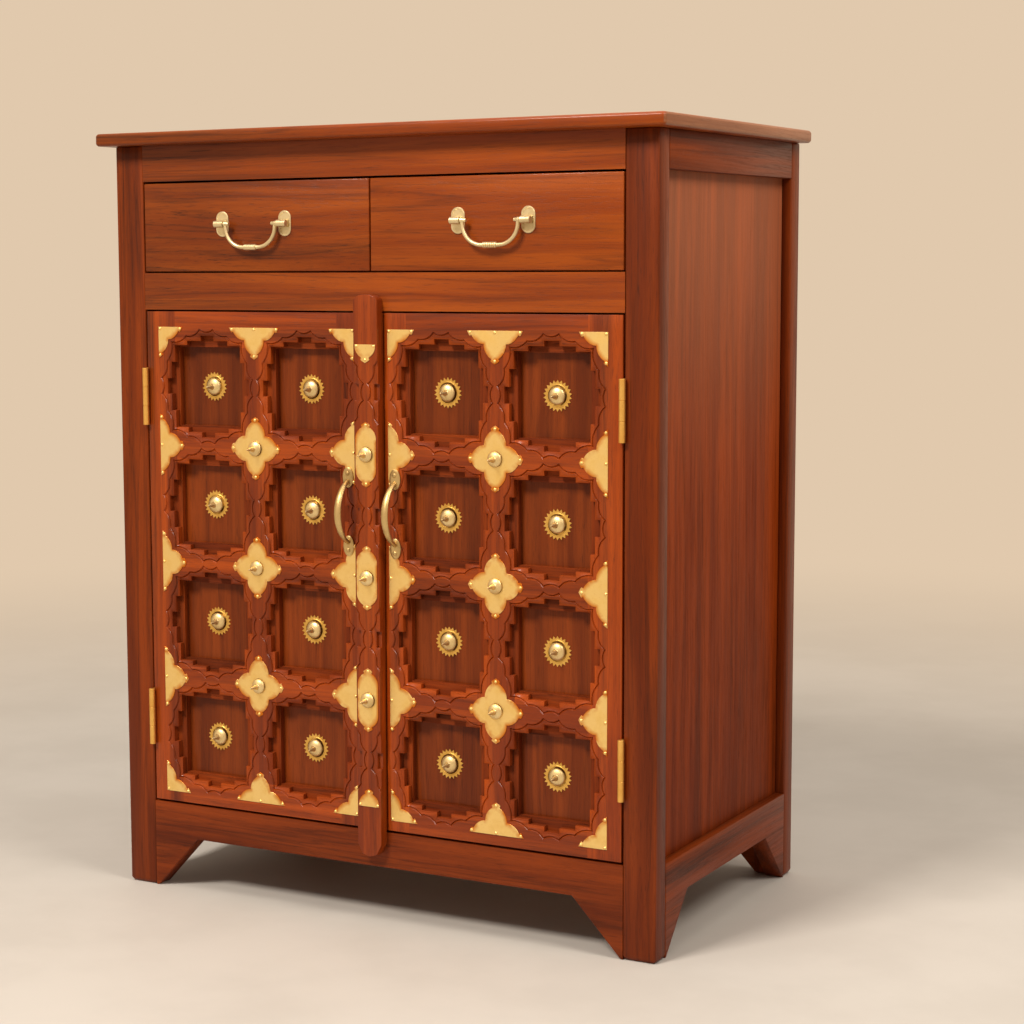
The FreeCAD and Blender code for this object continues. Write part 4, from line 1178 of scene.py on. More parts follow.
@dataclass
class CentreBatten:
    """The carved batten over the meeting line, crowned at the top and tongued at the bottom."""

    doors: CarvedDoors
    pattern: CarvedPattern
    half: float = 19.0
    thickness: float = 15.5
    bottom: float = 96.0
    top: float = 888.0
    crown: float = 9.0
    crown_cuts: int = 10
    tongue: float = 18.0
    tongue_half: float = 11.0
    tongue_round: float = 3.0
    spare: float = 5.0
    edge_round: float = 1.6
    seed: float = 0.62

    def build(self) -> None:
        """Carves the batten like a bar of the lattice and shapes its ends."""
        doors = self.doors
        face_y = doors.face_y - self.thickness
        width = self.pattern.cell_width
        bm = carved_slab(
            self.pattern,
            (-width - self.spare, self.bottom),
            (width + self.spare, self.top),
            face_y,
            doors.face_y,
            [-width, 0.0, width],
            [doors.row(r) for r in range(doors.row_count + 1)],
            0.0,
        )
        clip(bm, (self.half, 0, 0), (1, 0, 0))
        clip(bm, (-self.half, 0, 0), (-1, 0, 0))
        spring = self.top - self.crown
        for cut in range(self.crown_cuts):
            angle = math.pi * ((cut + 0.5) / self.crown_cuts - 0.5)
            point = (self.half * math.sin(angle), 0, spring + self.crown * math.cos(angle))
            outward = (math.sin(angle) / self.half, 0, math.cos(angle) / self.crown)
            clip(bm, point, Vector(outward).normalized())
        low = self.bottom + self.tongue_round
        for side in ENDS:
            rise, run = self.tongue - self.tongue_round, self.half - self.tongue_half
            for across, down in ((rise, run), (self.tongue_round, self.tongue_half)):
                outward = Vector((side * across, 0, -down)).normalized()
                clip(bm, (side * self.tongue_half, 0, low), outward)
        outline = [
            edge for edge in bm.edges
            if edge.is_manifold and edge.is_convex and edge.calc_face_angle(0.0) > math.radians(60)
            and all(abs(vert.co.y - face_y) < 0.01 for vert in edge.verts)
            and not all(abs(vert.co.x) < self.half - 0.05 and spring > vert.co.z > low + 20
                        for vert in edge.verts)
        ]
        ease(bm, outline, self.edge_round, 3)
        make_piece(
            "centre_batten_carved", bm, "left_door",
            CARVED_WOOD.material(Grain.UPRIGHT), ("centre_batten",), self.seed, CARVED_SHARP,
        )


# Brass


@dataclass(frozen=True)
class BossForm:
    """The sizes of a turned boss: its dome, and the spike that rises from it."""

    radius: float
    foot: float
    dome: float
    spike: float
    point: float
    height: float


FLOWER_BOSS = BossForm(11.0, 1.0, 6.0, 4.6, 1.0, 22.0)
ROSETTE_BOSS = BossForm(12.5, 1.2, 7.2, 4.6, 1.0, 21.4)


@dataclass
class BrassMounts:
    """Flower plates, long plates, nails, bosses and rosettes."""

    doors: CarvedDoors
    plate: float = PLATE_THICKNESS
    notch: float = 18.2
    tip: float = 45.5
    neck: float = 5.8
    neck_reach: float = 38.3
    bud: float = 7.0
    bud_reach: float = 40.5
    long_half: float = 16.5
    long_shoulder: float = 20.0
    end_plate: float = 25.5
    end_inset: float = 20.5
    end_nail: Point = (14.0, 2.4)
    clear_share: float = 0.74
    flower_width_share: float = 0.93
    nail_radius: float = 2.3
    nail_reach: float = 41.0
    nail_margin: float = 2.6
    plate_round: float = 0.28
    teeth: int = 22
    tooth_tip: float = 21.4
    tooth_root: float = 17.5
    star_thickness: float = 0.8
    collar_groove: float = 14.1
    panel_depth: float = 21.0
    greatest_lean: float = 0.035

    def petal(self, half: float, shoulder: float) -> list[Point]:
        """Half of a petal's outline, from its shoulder to its tip.

        Args:
            half: The petal's half width at the shoulder.
            shoulder: The distance of the shoulder from the flower's middle.

        Returns:
            Points as (across, along).
        """
        start = Vector((half, shoulder, 0))
        neck = Vector((self.neck, self.neck_reach, 0))
        side = interpolate_bezier(
            start, start + Vector((0.3, 7.6, 0)), neck + Vector((8.2, -4.8, 0)), neck, 10
        )
        bud = Vector((self.bud, self.bud_reach, 0))
        point = Vector((0, self.tip, 0))
        top = interpolate_bezier(
            bud, bud + Vector((0.1, 1.9, 0)), point + Vector((2.2, -1.6, 0)), point, 6
        )
        return [(p.x, p.y) for p in list(side) + list(top)]

    def add_plate(
        self, bm: BMesh, centre: Vector, petals: Sequence[Sequence[Point]], width: float = 1.0
    ) -> list[BMFace]:
        """Adds a flat plate, clear in its middle and stained towards its outline.

        Args:
            bm: The mesh that grows, with its rim attribute.
            centre: The plate's middle.
            petals: Half petals, turned clockwise one after the other.
            width: How wide the plate is made for its height.

        Returns:
            The flat faces.
        """
        points = []
        for turn, half in enumerate(petals):
            whole = [(-x, z) for x, z in half] + [(x, z) for x, z in reversed(half[:-1])]
            angle = math.tau * turn / len(petals)
            for x, z in whole[:-1] if len(petals) == 4 else whole:
                across = x * math.cos(angle) + z * math.sin(angle)
                along = z * math.cos(angle) - x * math.sin(angle)
                points.append(Vector((across * width, 0, along)))
        outline = add_loop(bm, [centre + point for point in points])
        clear = add_loop(bm, [centre + point * self.clear_share for point in points])
        set_layer(bm, "rim", edge_verts(outline), 1.0)
        band = bmesh.ops.triangle_fill(bm, use_beauty=True, edges=outline + clear, normal=FRONT)
        faces = pick(band["geom"], BMFace)
        return faces + [fill_loop(bm, clear)]

    def finish_plates(self, bm: BMesh, seat: float) -> None:
        """Gives the flat plates on one plane their thickness and a softened front edge."""
        thicken(bm, bm.faces[:], (0, -self.plate, 0))
        bmesh.ops.recalc_face_normals(bm, faces=bm.faces[:])
        edges = [
            edge for edge in bm.edges
            if edge.is_manifold and edge.calc_face_angle(0.0) > 1.0
            and all(vert.co.y < seat - self.plate + 0.01 for vert in edge.verts)
        ]
        ease(bm, edges, self.plate_round, 1)

    def add_nail(self, bm: BMesh, x: float, y: float, z: float) -> None:
        """Adds one small round nail head."""
        radius = self.nail_radius
        profile = [(0, 0.4), (radius, 0.4), (radius, -0.3), (1.9, -0.9), (1.1, -1.35), (0, -1.5)]
        add_turned(bm, profile, (x, y, z), (0, 1, 0), 12)

    def add_boss(self, bm: BMesh, centre: Vector, form: BossForm, lean: float = 0.0) -> None:
        """Adds a turned boss: a low dome with a tapered spike.

        Args:
            bm: The mesh that grows.
            centre: The middle of its foot.
            form: Its sizes.
            lean: How far its axis leans sideways, as a slope.
        """
        steps = 8
        profile = [(0, 0), (form.radius - 0.4, 0), (form.radius, -0.4), (form.radius, -form.foot)]
        spread = math.acos(form.spike / form.radius)
        for step in range(1, steps + 1):
            angle = spread * step / steps
            rise = (form.dome - form.foot) * math.sin(angle) / math.sin(spread)
            profile.append((form.radius * math.cos(angle), -form.foot - rise))
        profile += [
            (form.spike * 0.86, -form.dome - 0.7),
            (form.spike * 0.78, -form.dome - 1.8),
            (form.point * 1.25, -form.height + 0.9),
            (form.point * 0.8, -form.height + 0.25),
            (0, -form.height),
        ]
        axis = Vector((lean, 1.0, -lean / 2)).normalized()
        made = add_turned(bm, profile, centre, axis, 28)
        # The dome's foot gets rim 1, so it is painted dark: painted shade where the boss meets the
        # wood.
        low = [
            vert for vert in made
            if (centre - vert.co).dot(axis) < form.foot + 1.3
            and (vert.co - centre).length > form.radius * 0.8
        ]
        set_layer(bm, "rim", low, 1.0)

    def lattice_plates(self, name: str, side: int) -> None:
        """Makes the flower plates of one door with their nails."""
        doors = self.doors
        low_x, high_x = sorted((side * doors.column(0), side * doors.column(doors.column_count)))
        low_z, high_z = doors.row(0), doors.row(doors.row_count)
        bm = bmesh.new()
        new_layer(bm, "rim")
        half = self.petal(self.notch, self.notch)
        for column in range(doors.column_count + 1):
            for row in range(doors.row_count + 1):
                centre = Vector((side * doors.column(column), doors.face_y, doors.row(row)))
                self.add_plate(bm, centre, [half] * 4, self.flower_width_share)
        for point, outward in (
            ((low_x, 0, 0), (-1, 0, 0)), ((high_x, 0, 0), (1, 0, 0)),
            ((0, 0, low_z), (0, 0, -1)), ((0, 0, high_z), (0, 0, 1)),
        ):
            cut_off(bm, everything(bm), point, outward)
        self.finish_plates(bm, doors.face_y)
        seat = doors.face_y - self.plate
        width = self.flower_width_share
        margin = self.nail_margin
        for column in range(doors.column_count + 1):
            for row in range(doors.row_count + 1):
                x, z = side * doors.column(column), doors.row(row)
                spots = {
                    (min(max(x + dx, low_x + margin), high_x - margin),
                     min(max(z + dz, low_z + margin), high_z - margin))
                    for dx, dz in ((0, 1), (0, -1), (1, 0), (-1, 0))
                    for dx, dz in ((dx * self.nail_reach * width, dz * self.nail_reach),)
                    if low_x - 1 < x + dx < high_x + 1 and low_z - 1 < z + dz < high_z + 1
                }
                if x in (low_x, high_x) or z in (low_z, high_z):
                    spots.add((min(max(x, low_x + margin), high_x - margin),
                               min(max(z, low_z + margin), high_z - margin)))
                for spot in sorted(spots):
                    self.add_nail(bm, spot[0], seat, spot[1])
        make_piece(
            f"{name}_door_flower_plates", bm, f"{name}_door",
            PLATE_BRASS.material(), (f"{name}_door_plates",),
        )

    def rosettes(self, name: str, side: int) -> None:
        """Makes the toothed rosettes of one door."""
        doors = self.doors
        bm = bmesh.new()
        new_layer(bm, "rim")
        for x, z in self.cell_middles(side):
            y = doors.face_y + self.panel_depth
            star = add_ring(bm, 2 * self.teeth, self.tooth_tip)
            for vert in star[1::2]:
                vert.co *= self.tooth_root / self.tooth_tip
            bmesh.ops.translate(bm, vec=(x, y, z), verts=star)
            thicken(bm, [fill_ring(bm, star)], (0, -self.star_thickness, 0))
            profile = [
                (12.0, -0.3), (15.8, -0.3), (15.8, -0.9), (15.4, -1.2), (14.3, -1.2),
                (13.9, -0.85), (12.0, -0.85),
            ]
            collar = add_turned(bm, profile, (x, y, z), (0, 1, 0), 44, True)
            middle = Vector((x, y, z))
            # The collar's groove gets rim 1, so it is painted dark: painted shade round the dome.
            dark = [vert for vert in collar if (vert.co - middle).length < self.collar_groove]
            set_layer(bm, "rim", dark, 1.0)
        make_piece(
            f"{name}_door_toothed_rosettes", bm, f"{name}_door",
            STAR_BRASS.material(), (f"{name}_door_rosettes",),
        )

    def cell_middles(self, side: int) -> list[Point]:
        """The middles of one door's cells."""
        doors = self.doors
        return [
            (side * (doors.column(column) + doors.pattern.cell_width / 2), doors.row(row + 0.5))
            for column in range(doors.column_count)
            for row in range(doors.row_count)
        ]

    def bosses(self, name: str, side: int) -> None:
        """Makes the bosses of one door."""
        doors = self.doors
        bm = bmesh.new()
        new_layer(bm, "rim")
        for column in range(1, doors.column_count):
            for row in range(1, doors.row_count):
                x, z = side * doors.column(column), doors.row(row)
                self.add_boss(bm, Vector((x, doors.face_y - self.plate, z)), FLOWER_BOSS)
        for index, (x, z) in enumerate(self.cell_middles(side)):
            lean = self.greatest_lean * math.sin(2.4 * index + side)
            foot = Vector((x, doors.face_y + self.panel_depth - 0.6, z))
            self.add_boss(bm, foot, ROSETTE_BOSS, lean)
        make_piece(
            f"{name}_door_domed_bosses", bm, f"{name}_door", BOSS_BRASS.material(),
            (f"{name}_door_bosses",),
        )

    def batten_brass(self, batten: CentreBatten) -> None:
        """Makes the batten's long plates, end plates, nails and bosses."""
        doors = self.doors
        seat = doors.face_y - batten.thickness
        half = self.petal(self.long_half, self.long_shoulder)
        long_nails = [(0.0, self.nail_reach), (0.0, -self.nail_reach)]
        bm = bmesh.new()
        new_layer(bm, "rim")
        for row in range(1, doors.row_count):
            self.add_plate(bm, Vector((0, seat, doors.row(row))), [half, half])
        top_edge = doors.row(doors.row_count) - self.end_inset
        low_edge = doors.row(0) + self.end_inset
        nails = [
            (x, doors.row(row) + z) for row in range(1, doors.row_count) for x, z in long_nails
        ]
        for edge, sign in ((top_edge, -1), (low_edge, 1)):
            centre = Vector((0, seat, edge + sign * (self.end_plate - self.tip)))
            faces = self.add_plate(bm, centre, [half, half])
            edges = {side for face in faces for side in face.edges}
            geom = faces + list(edges) + edge_verts(edges)
            cut_off(bm, geom, (0, 0, edge), (0, 0, -sign))
            across, along = self.end_nail
            nails += [(-across, edge + sign * along), (across, edge + sign * along)]
            nails.append((0, centre.z + sign * self.nail_reach))
        self.finish_plates(bm, seat)
        for x, z in nails:
            self.add_nail(bm, x, seat - self.plate, z)
        make_piece(
            "batten_long_plates", bm, "left_door", PLATE_BRASS.material(),
            ("centre_batten_plates",),
        )
        bm = bmesh.new()
        new_layer(bm, "rim")
        for row in range(1, doors.row_count):
            self.add_boss(bm, Vector((0, seat - self.plate, doors.row(row))), FLOWER_BOSS)
        make_piece(
            "batten_domed_bosses", bm, "left_door", BOSS_BRASS.material(),
            ("centre_batten_bosses",),
        )

    def build(self, batten: CentreBatten) -> None:
        """Makes all the brass of the doors and the batten."""
        for name, side in SIDES.items():
            self.lattice_plates(name, side)
            self.rosettes(name, side)
            self.bosses(name, side)
        self.batten_brass(batten)


@dataclass
class BowPulls:
    """The cast bow pulls between two leaf-shaped plates."""

    face_y: float = FACE_Y
    plate: float = PLATE_THICKNESS
    from_centre: float = 38.0
    middle_z: float = 584.206
    length: float = 126.0
    reach: float = 33.0
    leaf_length: float = 29.0
    leaf_width: float = 17.0
    leaf_thickness: float = 2.5
    bow_width: float = 10.5
    bow_end_width: float = 7.0
    bow_thickness: float = 5.5

    def bow(self, bm: BMesh, x: float, seat: float) -> None:
        """Makes the bow in an empty mesh: an oval section swept round an arch, widest halfway."""
        foot = self.length / 2 - self.leaf_length * 2 / 3
        rise = self.reach - self.bow_thickness / 2 - self.leaf_thickness / 2
        radius = (foot * foot + rise * rise) / (2 * rise)
        spread = math.asin(foot / radius)
        crest = seat - self.leaf_thickness / 2 - rise
        centre = Vector((x, crest + radius, self.middle_z))
        section = bmesh.ops.create_circle(bm, cap_ends=True, segments=16, radius=1.0)["verts"]
        bmesh.ops.scale(bm, vec=(self.bow_width / 2, self.bow_thickness / 2, 1), verts=section)
        bmesh.ops.translate(bm, vec=(x, crest, self.middle_z), verts=section)
        bmesh.ops.rotate(
            bm, cent=centre, matrix=Matrix.Rotation(-spread, 3, "X"), verts=section
        )
        bmesh.ops.spin(
            bm, geom=bm.faces[:], cent=centre, axis=(1, 0, 0), angle=2 * spread, steps=28,
            use_merge=False,
        )
        for vert in bm.verts:
            share = (vert.co.z - self.middle_z) / foot
            width = self.bow_width + (self.bow_end_width - self.bow_width) * share * share
            vert.co.x = x + (vert.co.x - x) * width / self.bow_width

    def leaf(self, bm: BMesh, x: float, seat: float, end: int) -> None:
        """Adds one leaf plate with its screw."""
        z = self.middle_z + end * (self.length - self.leaf_length) / 2
        verts = add_ring(bm, 28, 1.0)
        bmesh.ops.scale(bm, vec=(self.leaf_width / 2, 1, self.leaf_length / 2), verts=verts)
        bmesh.ops.translate(bm, vec=(x, seat, z), verts=verts)
        front = thicken(bm, [fill_ring(bm, verts)], (0, -self.leaf_thickness * 0.55, 0))[0]
        inset(bm, front, 1.4, -self.leaf_thickness * 0.35)
        inset(bm, front, 2.6, -self.leaf_thickness * 0.1)
        screw_z = z + end * self.leaf_length * 0.2
        top = seat - self.leaf_thickness
        profile = [(0, 0.6), (3.2, 0.6), (3.2, -0.4), (2.7, -1.1), (1.5, -1.6), (0, -1.8)]
        add_turned(bm, profile, (x, top, screw_z), (0, 1, 0), 16)

    def build(self) -> None:
        """Makes both pulls."""
        seat = self.face_y - self.plate
        for name, side in SIDES.items():
            bm = bmesh.new()
            x = side * self.from_centre
            self.bow(bm, x, seat)
            for end in ENDS:
                self.leaf(bm, x, seat, end)
            make_piece(
                f"{name}_door_bow_pull", bm, f"{name}_door",
                PULL_BRASS.material(), (f"{name}_door_pull",),
            )


@dataclass
class ButtHinges:
    """Butt hinges with round knuckles, seen as brass strips beside the doors."""

    face_y: float = FACE_Y
    axis_x: float = 383.7
    axis_y: float = -242.45
    frame_x: float = 385.0
    door_x: float = DOOR_OUTER
    length: float = 84.0
    radius: float = 4.5
    pin: float = 2.0
    bore: float = 2.05
    leaf_depth: float = 22.0
    leaf: float = 1.1
    gap: float = 0.3
    frame_overlap: float = 1.0
    door_overlap: float = 2.6
    door_bottom: float = DOOR_BOTTOM
    door_top: float = DOOR_TOP
    height_shares: Point = (0.173, 0.829)

    def knuckle(self, bm: BMesh, x: float, low: float, high: float, bored: bool) -> None:
        """Adds one knuckle, bored through or solid."""
        inner = self.bore if bored else 0.0
        profile = [
            (inner, 0), (self.radius - 0.4, 0), (self.radius, 0.4), (self.radius, high - low - 0.4),
            (self.radius - 0.4, high - low), (inner, high - low),
        ]
        add_turned(bm, profile, (x, self.axis_y, low), (0, 0, 1), 20, bored)

    def flange(self, bm: BMesh, wood_x: float, inward: int, ends: Point, front: float) -> None:
        """Adds a flat part of a leaf, between the wood and the knuckles."""
        back = self.face_y + self.leaf_depth
        add_block(bm, (wood_x, front, ends[0]), (wood_x + inward * self.leaf, back, ends[1]))

    def build(self) -> None:
        """Makes the frame's leaves in one piece and each door's leaves in another."""
        fixed = bmesh.new()
        for name, side in SIDES.items():
            turning = bmesh.new()
            x = side * self.axis_x
            frame_x, door_x = side * self.frame_x, side * self.door_x
            for share in self.height_shares:
                middle = self.door_bottom + (self.door_top - self.door_bottom) * share
                low = middle - self.length / 2
                third = self.length / 3
                whole = (low, low + self.length)
                spans = [
                    (low + i * third + self.gap / 2, low + (i + 1) * third - self.gap / 2)
                    for i in range(3)
                ]
                for span in (spans[0], spans[2]):
                    self.knuckle(fixed, x, *span, False)
                    self.flange(fixed, frame_x, -side, span, self.axis_y + self.frame_overlap)
                self.flange(fixed, frame_x, -side, whole, self.face_y)
                tall = third + self.gap
                profile = [(0, 0), (self.pin, 0), (self.pin, tall), (0, tall)]
                add_turned(fixed, profile, (x, self.axis_y, spans[0][1]), (0, 0, 1), 12)
                self.knuckle(turning, x, *spans[1], True)
                self.flange(turning, door_x, side, spans[1], self.axis_y + self.door_overlap)
                self.flange(turning, door_x, side, whole, self.face_y)
            make_piece(
                f"{name}_door_hinge_plates", turning, f"{name}_door",
                HINGE_BRASS.material(), (f"{name}_door_hinge_leaves",),
            )
        make_piece(
            "frame_hinge_plates", fixed, "carcass", HINGE_BRASS.material(),
            ("hinge_frame_leaves",),
        )


class Sleeve(Enum):
    """How many parts the ribs divide the sleeve of a bail into."""

    PLAIN = 0
    RIBBED = 7


@dataclass
class Bails:
    """The drawers' bail handles, with their oval plates and barrel eyes."""

    face_y: float = FACE_Y
    from_centre: float = 192.0
    height: float = 987.3
    stand_off: float = 9.5
    spacing: float = 106.0
    arm: float = 42.0
    drop: float = 33.0
    straight: float = 4.0
    rod: float = 3.0
    pin: float = 2.5
    sleeve: float = 4.3
    sleeve_length: float = 20.0
    plate_width: float = 21.0
    plate_height: float = 36.0
    plate_thickness: float = 2.0
    eye: float = 5.0
    eye_length: float = 15.0

    def eyes(self, name: str, side: int) -> None:
        """Makes the two plates of one drawer, each with its barrel eye."""
        bm = bmesh.new()
        radius = self.plate_width / 2
        straight = self.plate_height / 2 - radius
        for end in ENDS:
            x = side * self.from_centre + end * self.spacing / 2
            centre = Vector((x, self.face_y, self.height))
            verts = add_ring(bm, 32, radius)
            for vert in verts:
                vert.co.z += straight * max(-1.0, min(1.0, vert.co.z * 4))
            bmesh.ops.translate(bm, vec=centre, verts=verts)
            base = -self.plate_thickness * 0.6
            front = thicken(bm, [fill_ring(bm, verts)], (0, base, 0))[0]
            inset(bm, front, 0.9, -self.plate_thickness * 0.4)
            inset(bm, front, 2.0, 0.0)
            inset(bm, front, 0.5, self.plate_thickness * 0.3)
            axis = centre + Vector((-self.eye_length / 2, -self.stand_off, 0))
            profile = [
                (self.pin + 0.05, 0), (self.eye - 0.5, 0), (self.eye, 0.5),
                (self.eye, self.eye_length - 0.5), (self.eye - 0.5, self.eye_length),
                (self.pin + 0.05, self.eye_length),
            ]
            add_turned(bm, profile, axis, (1, 0, 0), 20, True)
            foot, crest = self.face_y + base, self.face_y - self.stand_off + 3.2
            saddle = add_block(
                bm,
                (centre.x - self.eye_length / 2 + 0.5, foot, centre.z - 3.6),
                (centre.x + self.eye_length / 2 - 0.5, crest, centre.z + 3.6),
            )
            for vert in saddle:
                if vert.co.y > self.face_y - self.plate_thickness:
                    vert.co.z += 1.6 if vert.co.z > centre.z else -1.6
        make_piece(
            f"{name}_bail_plates", bm, f"{name}_drawer", FITTING_BRASS.material(),
            (f"{name}_bail_eyes",),
        )

    def bail(self, name: str, side: int, sleeve: Sleeve) -> None:
        """Makes one bail: half of its U, mirrored, with pins, hubs and a sleeve."""
        bend = self.drop - self.straight
        bm = bmesh.new()
        section = bmesh.ops.create_circle(
            bm, cap_ends=True, segments=14, radius=self.rod * 0.86
        )["verts"]
        bmesh.ops.translate(bm, vec=(-self.arm, 0, 0), verts=section)
        faces = bm.faces[:]
        down = bmesh.ops.extrude_face_region(bm, geom=faces)["geom"]
        moved = pick(down, BMVert)
        bmesh.ops.translate(bm, vec=(0, 0, -self.straight), verts=moved)
        bmesh.ops.scale(
            bm, vec=(1.08, 1.08, 1), verts=moved, space=Matrix.Translation((self.arm, 0, 0))
        )
        tips = pick(down, BMFace)
        turned = bmesh.ops.spin(
            bm, geom=tips, cent=(-self.arm + bend, 0, -self.straight), axis=(0, 1, 0),
            angle=-math.pi / 2, steps=12,
        )["geom_last"]
        rounds = pick(turned, BMVert)
        for vert in rounds:
            vert.co.y *= 1.07
            vert.co.z = -self.drop + (vert.co.z + self.drop) * 1.07
        last = pick(turned, BMFace)
        across = bmesh.ops.extrude_face_region(bm, geom=last)["geom"]
        ends = pick(across, BMVert)
        bmesh.ops.translate(bm, vec=(self.arm - bend, 0, 0), verts=ends)
        # What the sweep leaves inside the rod is taken out, and the end that the mirror closes
        inner = [face for face in tips + last if face.is_valid]
        inner += [face for face in bm.faces if all(abs(v.co.x) < 1e-3 for v in face.verts)]
        bmesh.ops.delete(bm, geom=inner, context="FACES_ONLY")
        bmesh.ops.mirror(bm, geom=everything(bm), merge_dist=MERGE_DISTANCE, axis="X")
        hub_end = self.arm + self.rod
        reach = 9.0 + self.spacing / 2 + self.eye_length / 2 - hub_end
        for end in ENDS:
            profile = [
                (0, 0), (2.2, 0), (2.7, 0.6), (2.9, 4.0), (3.6, 5.4), (3.6, 8.4), (3.1, 9.0),
                (self.pin, 9.0), (self.pin, reach - 0.4), (self.pin - 0.4, reach), (0, reach),
            ]
            add_turned(bm, profile, (end * (hub_end - 9.0), 0, 0), (end, 0, 0), 18)
        half = self.sleeve_length / 2
        profile = [(0, 0), (self.sleeve * 0.86, 0), (self.sleeve, 0.8)]
        for rib in range(1, sleeve.value):
            z = self.sleeve_length * rib / sleeve.value
            profile += [(self.sleeve, z - 0.7), (self.sleeve * 0.74, z), (self.sleeve, z + 0.7)]
        profile += [(self.sleeve, 2 * half - 0.8), (self.sleeve * 0.86, 2 * half), (0, 2 * half)]
        add_turned(bm, profile, (-half, 0, -self.drop), (1, 0, 0), 22)
        shift = (side * self.from_centre, self.face_y - self.stand_off, self.height)
        bmesh.ops.translate(bm, vec=shift, verts=bm.verts[:])
        make_piece(
            f"{name}_bail_handle", bm, f"{name}_bail", FITTING_BRASS.material(),
            (f"{name}_bail",),
        )

    def build(self) -> None:
        """Makes both handles, the left one plain and the right one ribbed."""
        for (name, side), sleeve in zip(SIDES.items(), (Sleeve.PLAIN, Sleeve.RIBBED)):
            self.eyes(name, side)
            self.bail(name, side, sleeve)


# Studio and camera


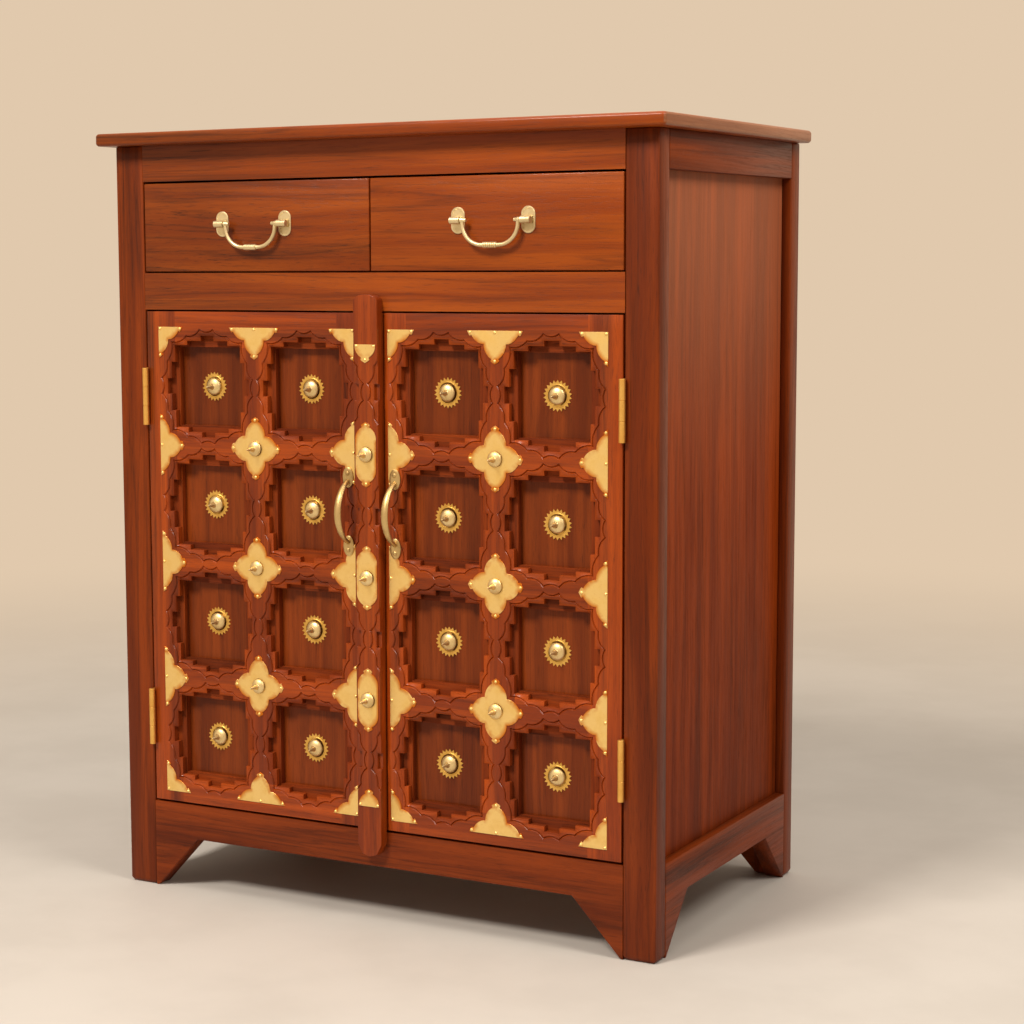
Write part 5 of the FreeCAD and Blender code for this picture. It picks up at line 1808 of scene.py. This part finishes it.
@dataclass
class Studio:
    """A pale floor under soft lights."""

    floor_radius: float = 30.0
    floor_colour: Colour = (202, 193, 182)
    floor_shade: float = 7
    floor_roughness: float = 0.6
    backdrop_colour: Colour = (225, 201, 173)
    light_colour: Colour = (255, 248, 238)
    ambient: float = 0.25
    fade_start: float = 0.8
    fade_end: float = 3.8

    def floor(self) -> None:
        """Lays a round floor."""
        bm = bmesh.new()
        bmesh.ops.create_circle(bm, cap_ends=True, segments=64, radius=self.floor_radius)
        mesh = bpy.data.meshes.new("studio_floor")
        bm.to_mesh(mesh)
        bm.free()
        material, sheet, shader = start_material("pale_stone_floor")
        place = sheet.add("TexCoord").outputs["Object"]
        cloud = sheet.noise(place, 3.0, 5.0, 0.6).outputs["Fac"]
        low = linear(*[channel - self.floor_shade for channel in self.floor_colour])
        colour = sheet.mix(sheet.span(cloud, 0.35, 0.65), linear(*self.floor_colour), low)
        sheet.feed(shader, {"Base Color": colour, "Roughness": self.floor_roughness})
        reach = sheet.add("VectorMath", {0: place}, operation="LENGTH").outputs["Value"]
        fade = sheet.span(reach, self.fade_start, self.fade_end)
        mixed = sheet.add(
            "MixShader", {0: fade, 1: shader.outputs[0], 2: self.room_light(sheet, "Emission")}
        )
        sheet.feed(sheet.tree.nodes["Material Output"], {"Surface": mixed.outputs[0]})
        mesh.materials.append(material)
        floor = bpy.data.objects.new("studio_floor", mesh)
        bpy.context.scene.collection.objects.link(floor)

    def room_light(self, sheet: NodeSheet, kind: str) -> bpy.types.NodeSocket:
        """The even light of the room, which shows as a pale backdrop to the camera and to gloss.

        Args:
            sheet: The nodes that it is added to.
            kind: The shader node that gives it off.

        Returns:
            The shader's socket.
        """
        rays = sheet.add("LightPath").outputs
        seen = sheet.calc("MAXIMUM", rays["Is Camera Ray"], rays["Is Glossy Ray"])
        seen = sheet.calc("MAXIMUM", seen, rays["Is Transmission Ray"])
        colour = sheet.mix(seen, linear(*self.light_colour), linear(*self.backdrop_colour))
        strength = sheet.span(seen, 0.0, 1.0, self.ambient, 1.0)
        return sheet.add(kind, {"Color": colour, "Strength": strength}).outputs[0]

    def world(self) -> None:
        """Surrounds everything with the room's light."""
        world = bpy.data.worlds.new("pale_room")
        bpy.context.scene.world = world
        world.use_nodes = True
        sheet = NodeSheet(world.node_tree)
        light = self.room_light(sheet, "Background")
        sheet.feed(sheet.tree.nodes["World Output"], {"Surface": light})

    def lamp(
        self, name: str, place: Sequence[float], target: Sequence[float], size: float, power: float,
        colour: Colour = (255, 250, 243),
    ) -> None:
        """Hangs one soft square light.

        Args:
            name: The light's name.
            place: Where it hangs, in metres.
            target: What it points at.
            size: Its width.
            power: Its power in watts.
            colour: Its screen colour.
        """
        data = bpy.data.lights.new(name, "AREA")
        data.shape = "SQUARE"
        data.size = size
        data.energy = power
        data.color = linear(*colour)[:3]
        lamp = bpy.data.objects.new(name, data)
        bpy.context.scene.collection.objects.link(lamp)
        lamp.visible_camera = False
        lamp.location = place
        aim = Vector(target) - Vector(place)
        lamp.rotation_euler = aim.to_track_quat("-Z", "Y").to_euler()

    def build(self) -> None:
        """Sets up the floor, the world and the lights."""
        self.floor()
        self.world()
        self.lamp("key_softbox", (-1.0, -3.7, 4.6), (0, -0.24, 0.55), 1.3, 275.0)
        self.lamp("window_softbox", (-2.04, -3.9, 1.1), (0, -0.24, 0.6), 2.6, 4.0)
        self.lamp("side_softbox", (2.2, -0.7, 2.8), (0.43, 0, 0.9), 1.2, 52.0)
        self.lamp("overhead_softbox", (0.2, 0.2, 4.2), (0, 0, 0), 3.0, 60.0)
        bpy.context.scene.view_settings.view_transform = "Standard"


@dataclass
class PhotoCamera:
    """The camera at the photograph's place, angle and framing."""

    place: tuple[float, float, float] = (1.585, -2.876, 0.936)
    yaw: float = 29.44
    pitch: float = 6.51
    roll: float = -0.35
    lens: float = 77.94
    shift_x: float = 0.078

    def build(self) -> None:
        """Makes the camera and the scene's view through it."""
        yaw, pitch, roll = (math.radians(v) for v in (self.yaw, self.pitch, self.roll))
        level_y = math.cos(pitch)
        ahead = Vector((-math.sin(yaw) * level_y, math.cos(yaw) * level_y, -math.sin(pitch)))
        right = Vector((math.cos(yaw), math.sin(yaw), 0))
        up = right.cross(ahead)
        level = right * math.cos(roll) + up * math.sin(roll)
        upright = up * math.cos(roll) - right * math.sin(roll)
        data = bpy.data.cameras.new("photo_camera")
        data.sensor_width = 36.0
        data.lens = self.lens
        data.shift_x = self.shift_x
        camera = bpy.data.objects.new("photo_camera", data)
        bpy.context.scene.collection.objects.link(camera)
        turn = Matrix((level, upright, -ahead)).transposed().to_4x4()
        camera.matrix_world = Matrix.Translation(self.place) @ turn
        bpy.context.scene.camera = camera


def write_sizes() -> None:
    """Updates the view layer."""
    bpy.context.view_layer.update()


def main() -> None:
    """Builds the camera, the cabinet's sub-assemblies and the studio, in order."""
    logging.basicConfig(level=logging.INFO, format="%(name)s %(message)s")
    PhotoCamera().build()
    Joinery().build()
    doors = CarvedDoors(CarvedPattern())
    doors.build()
    batten = CentreBatten(doors, CarvedPattern(step_depth=7.0))
    batten.build()
    BrassMounts(doors).build(batten)
    BowPulls().build()
    ButtHinges().build()
    Bails().build()
    Studio().build()
    write_sizes()


if __name__ == "__main__":
    main()
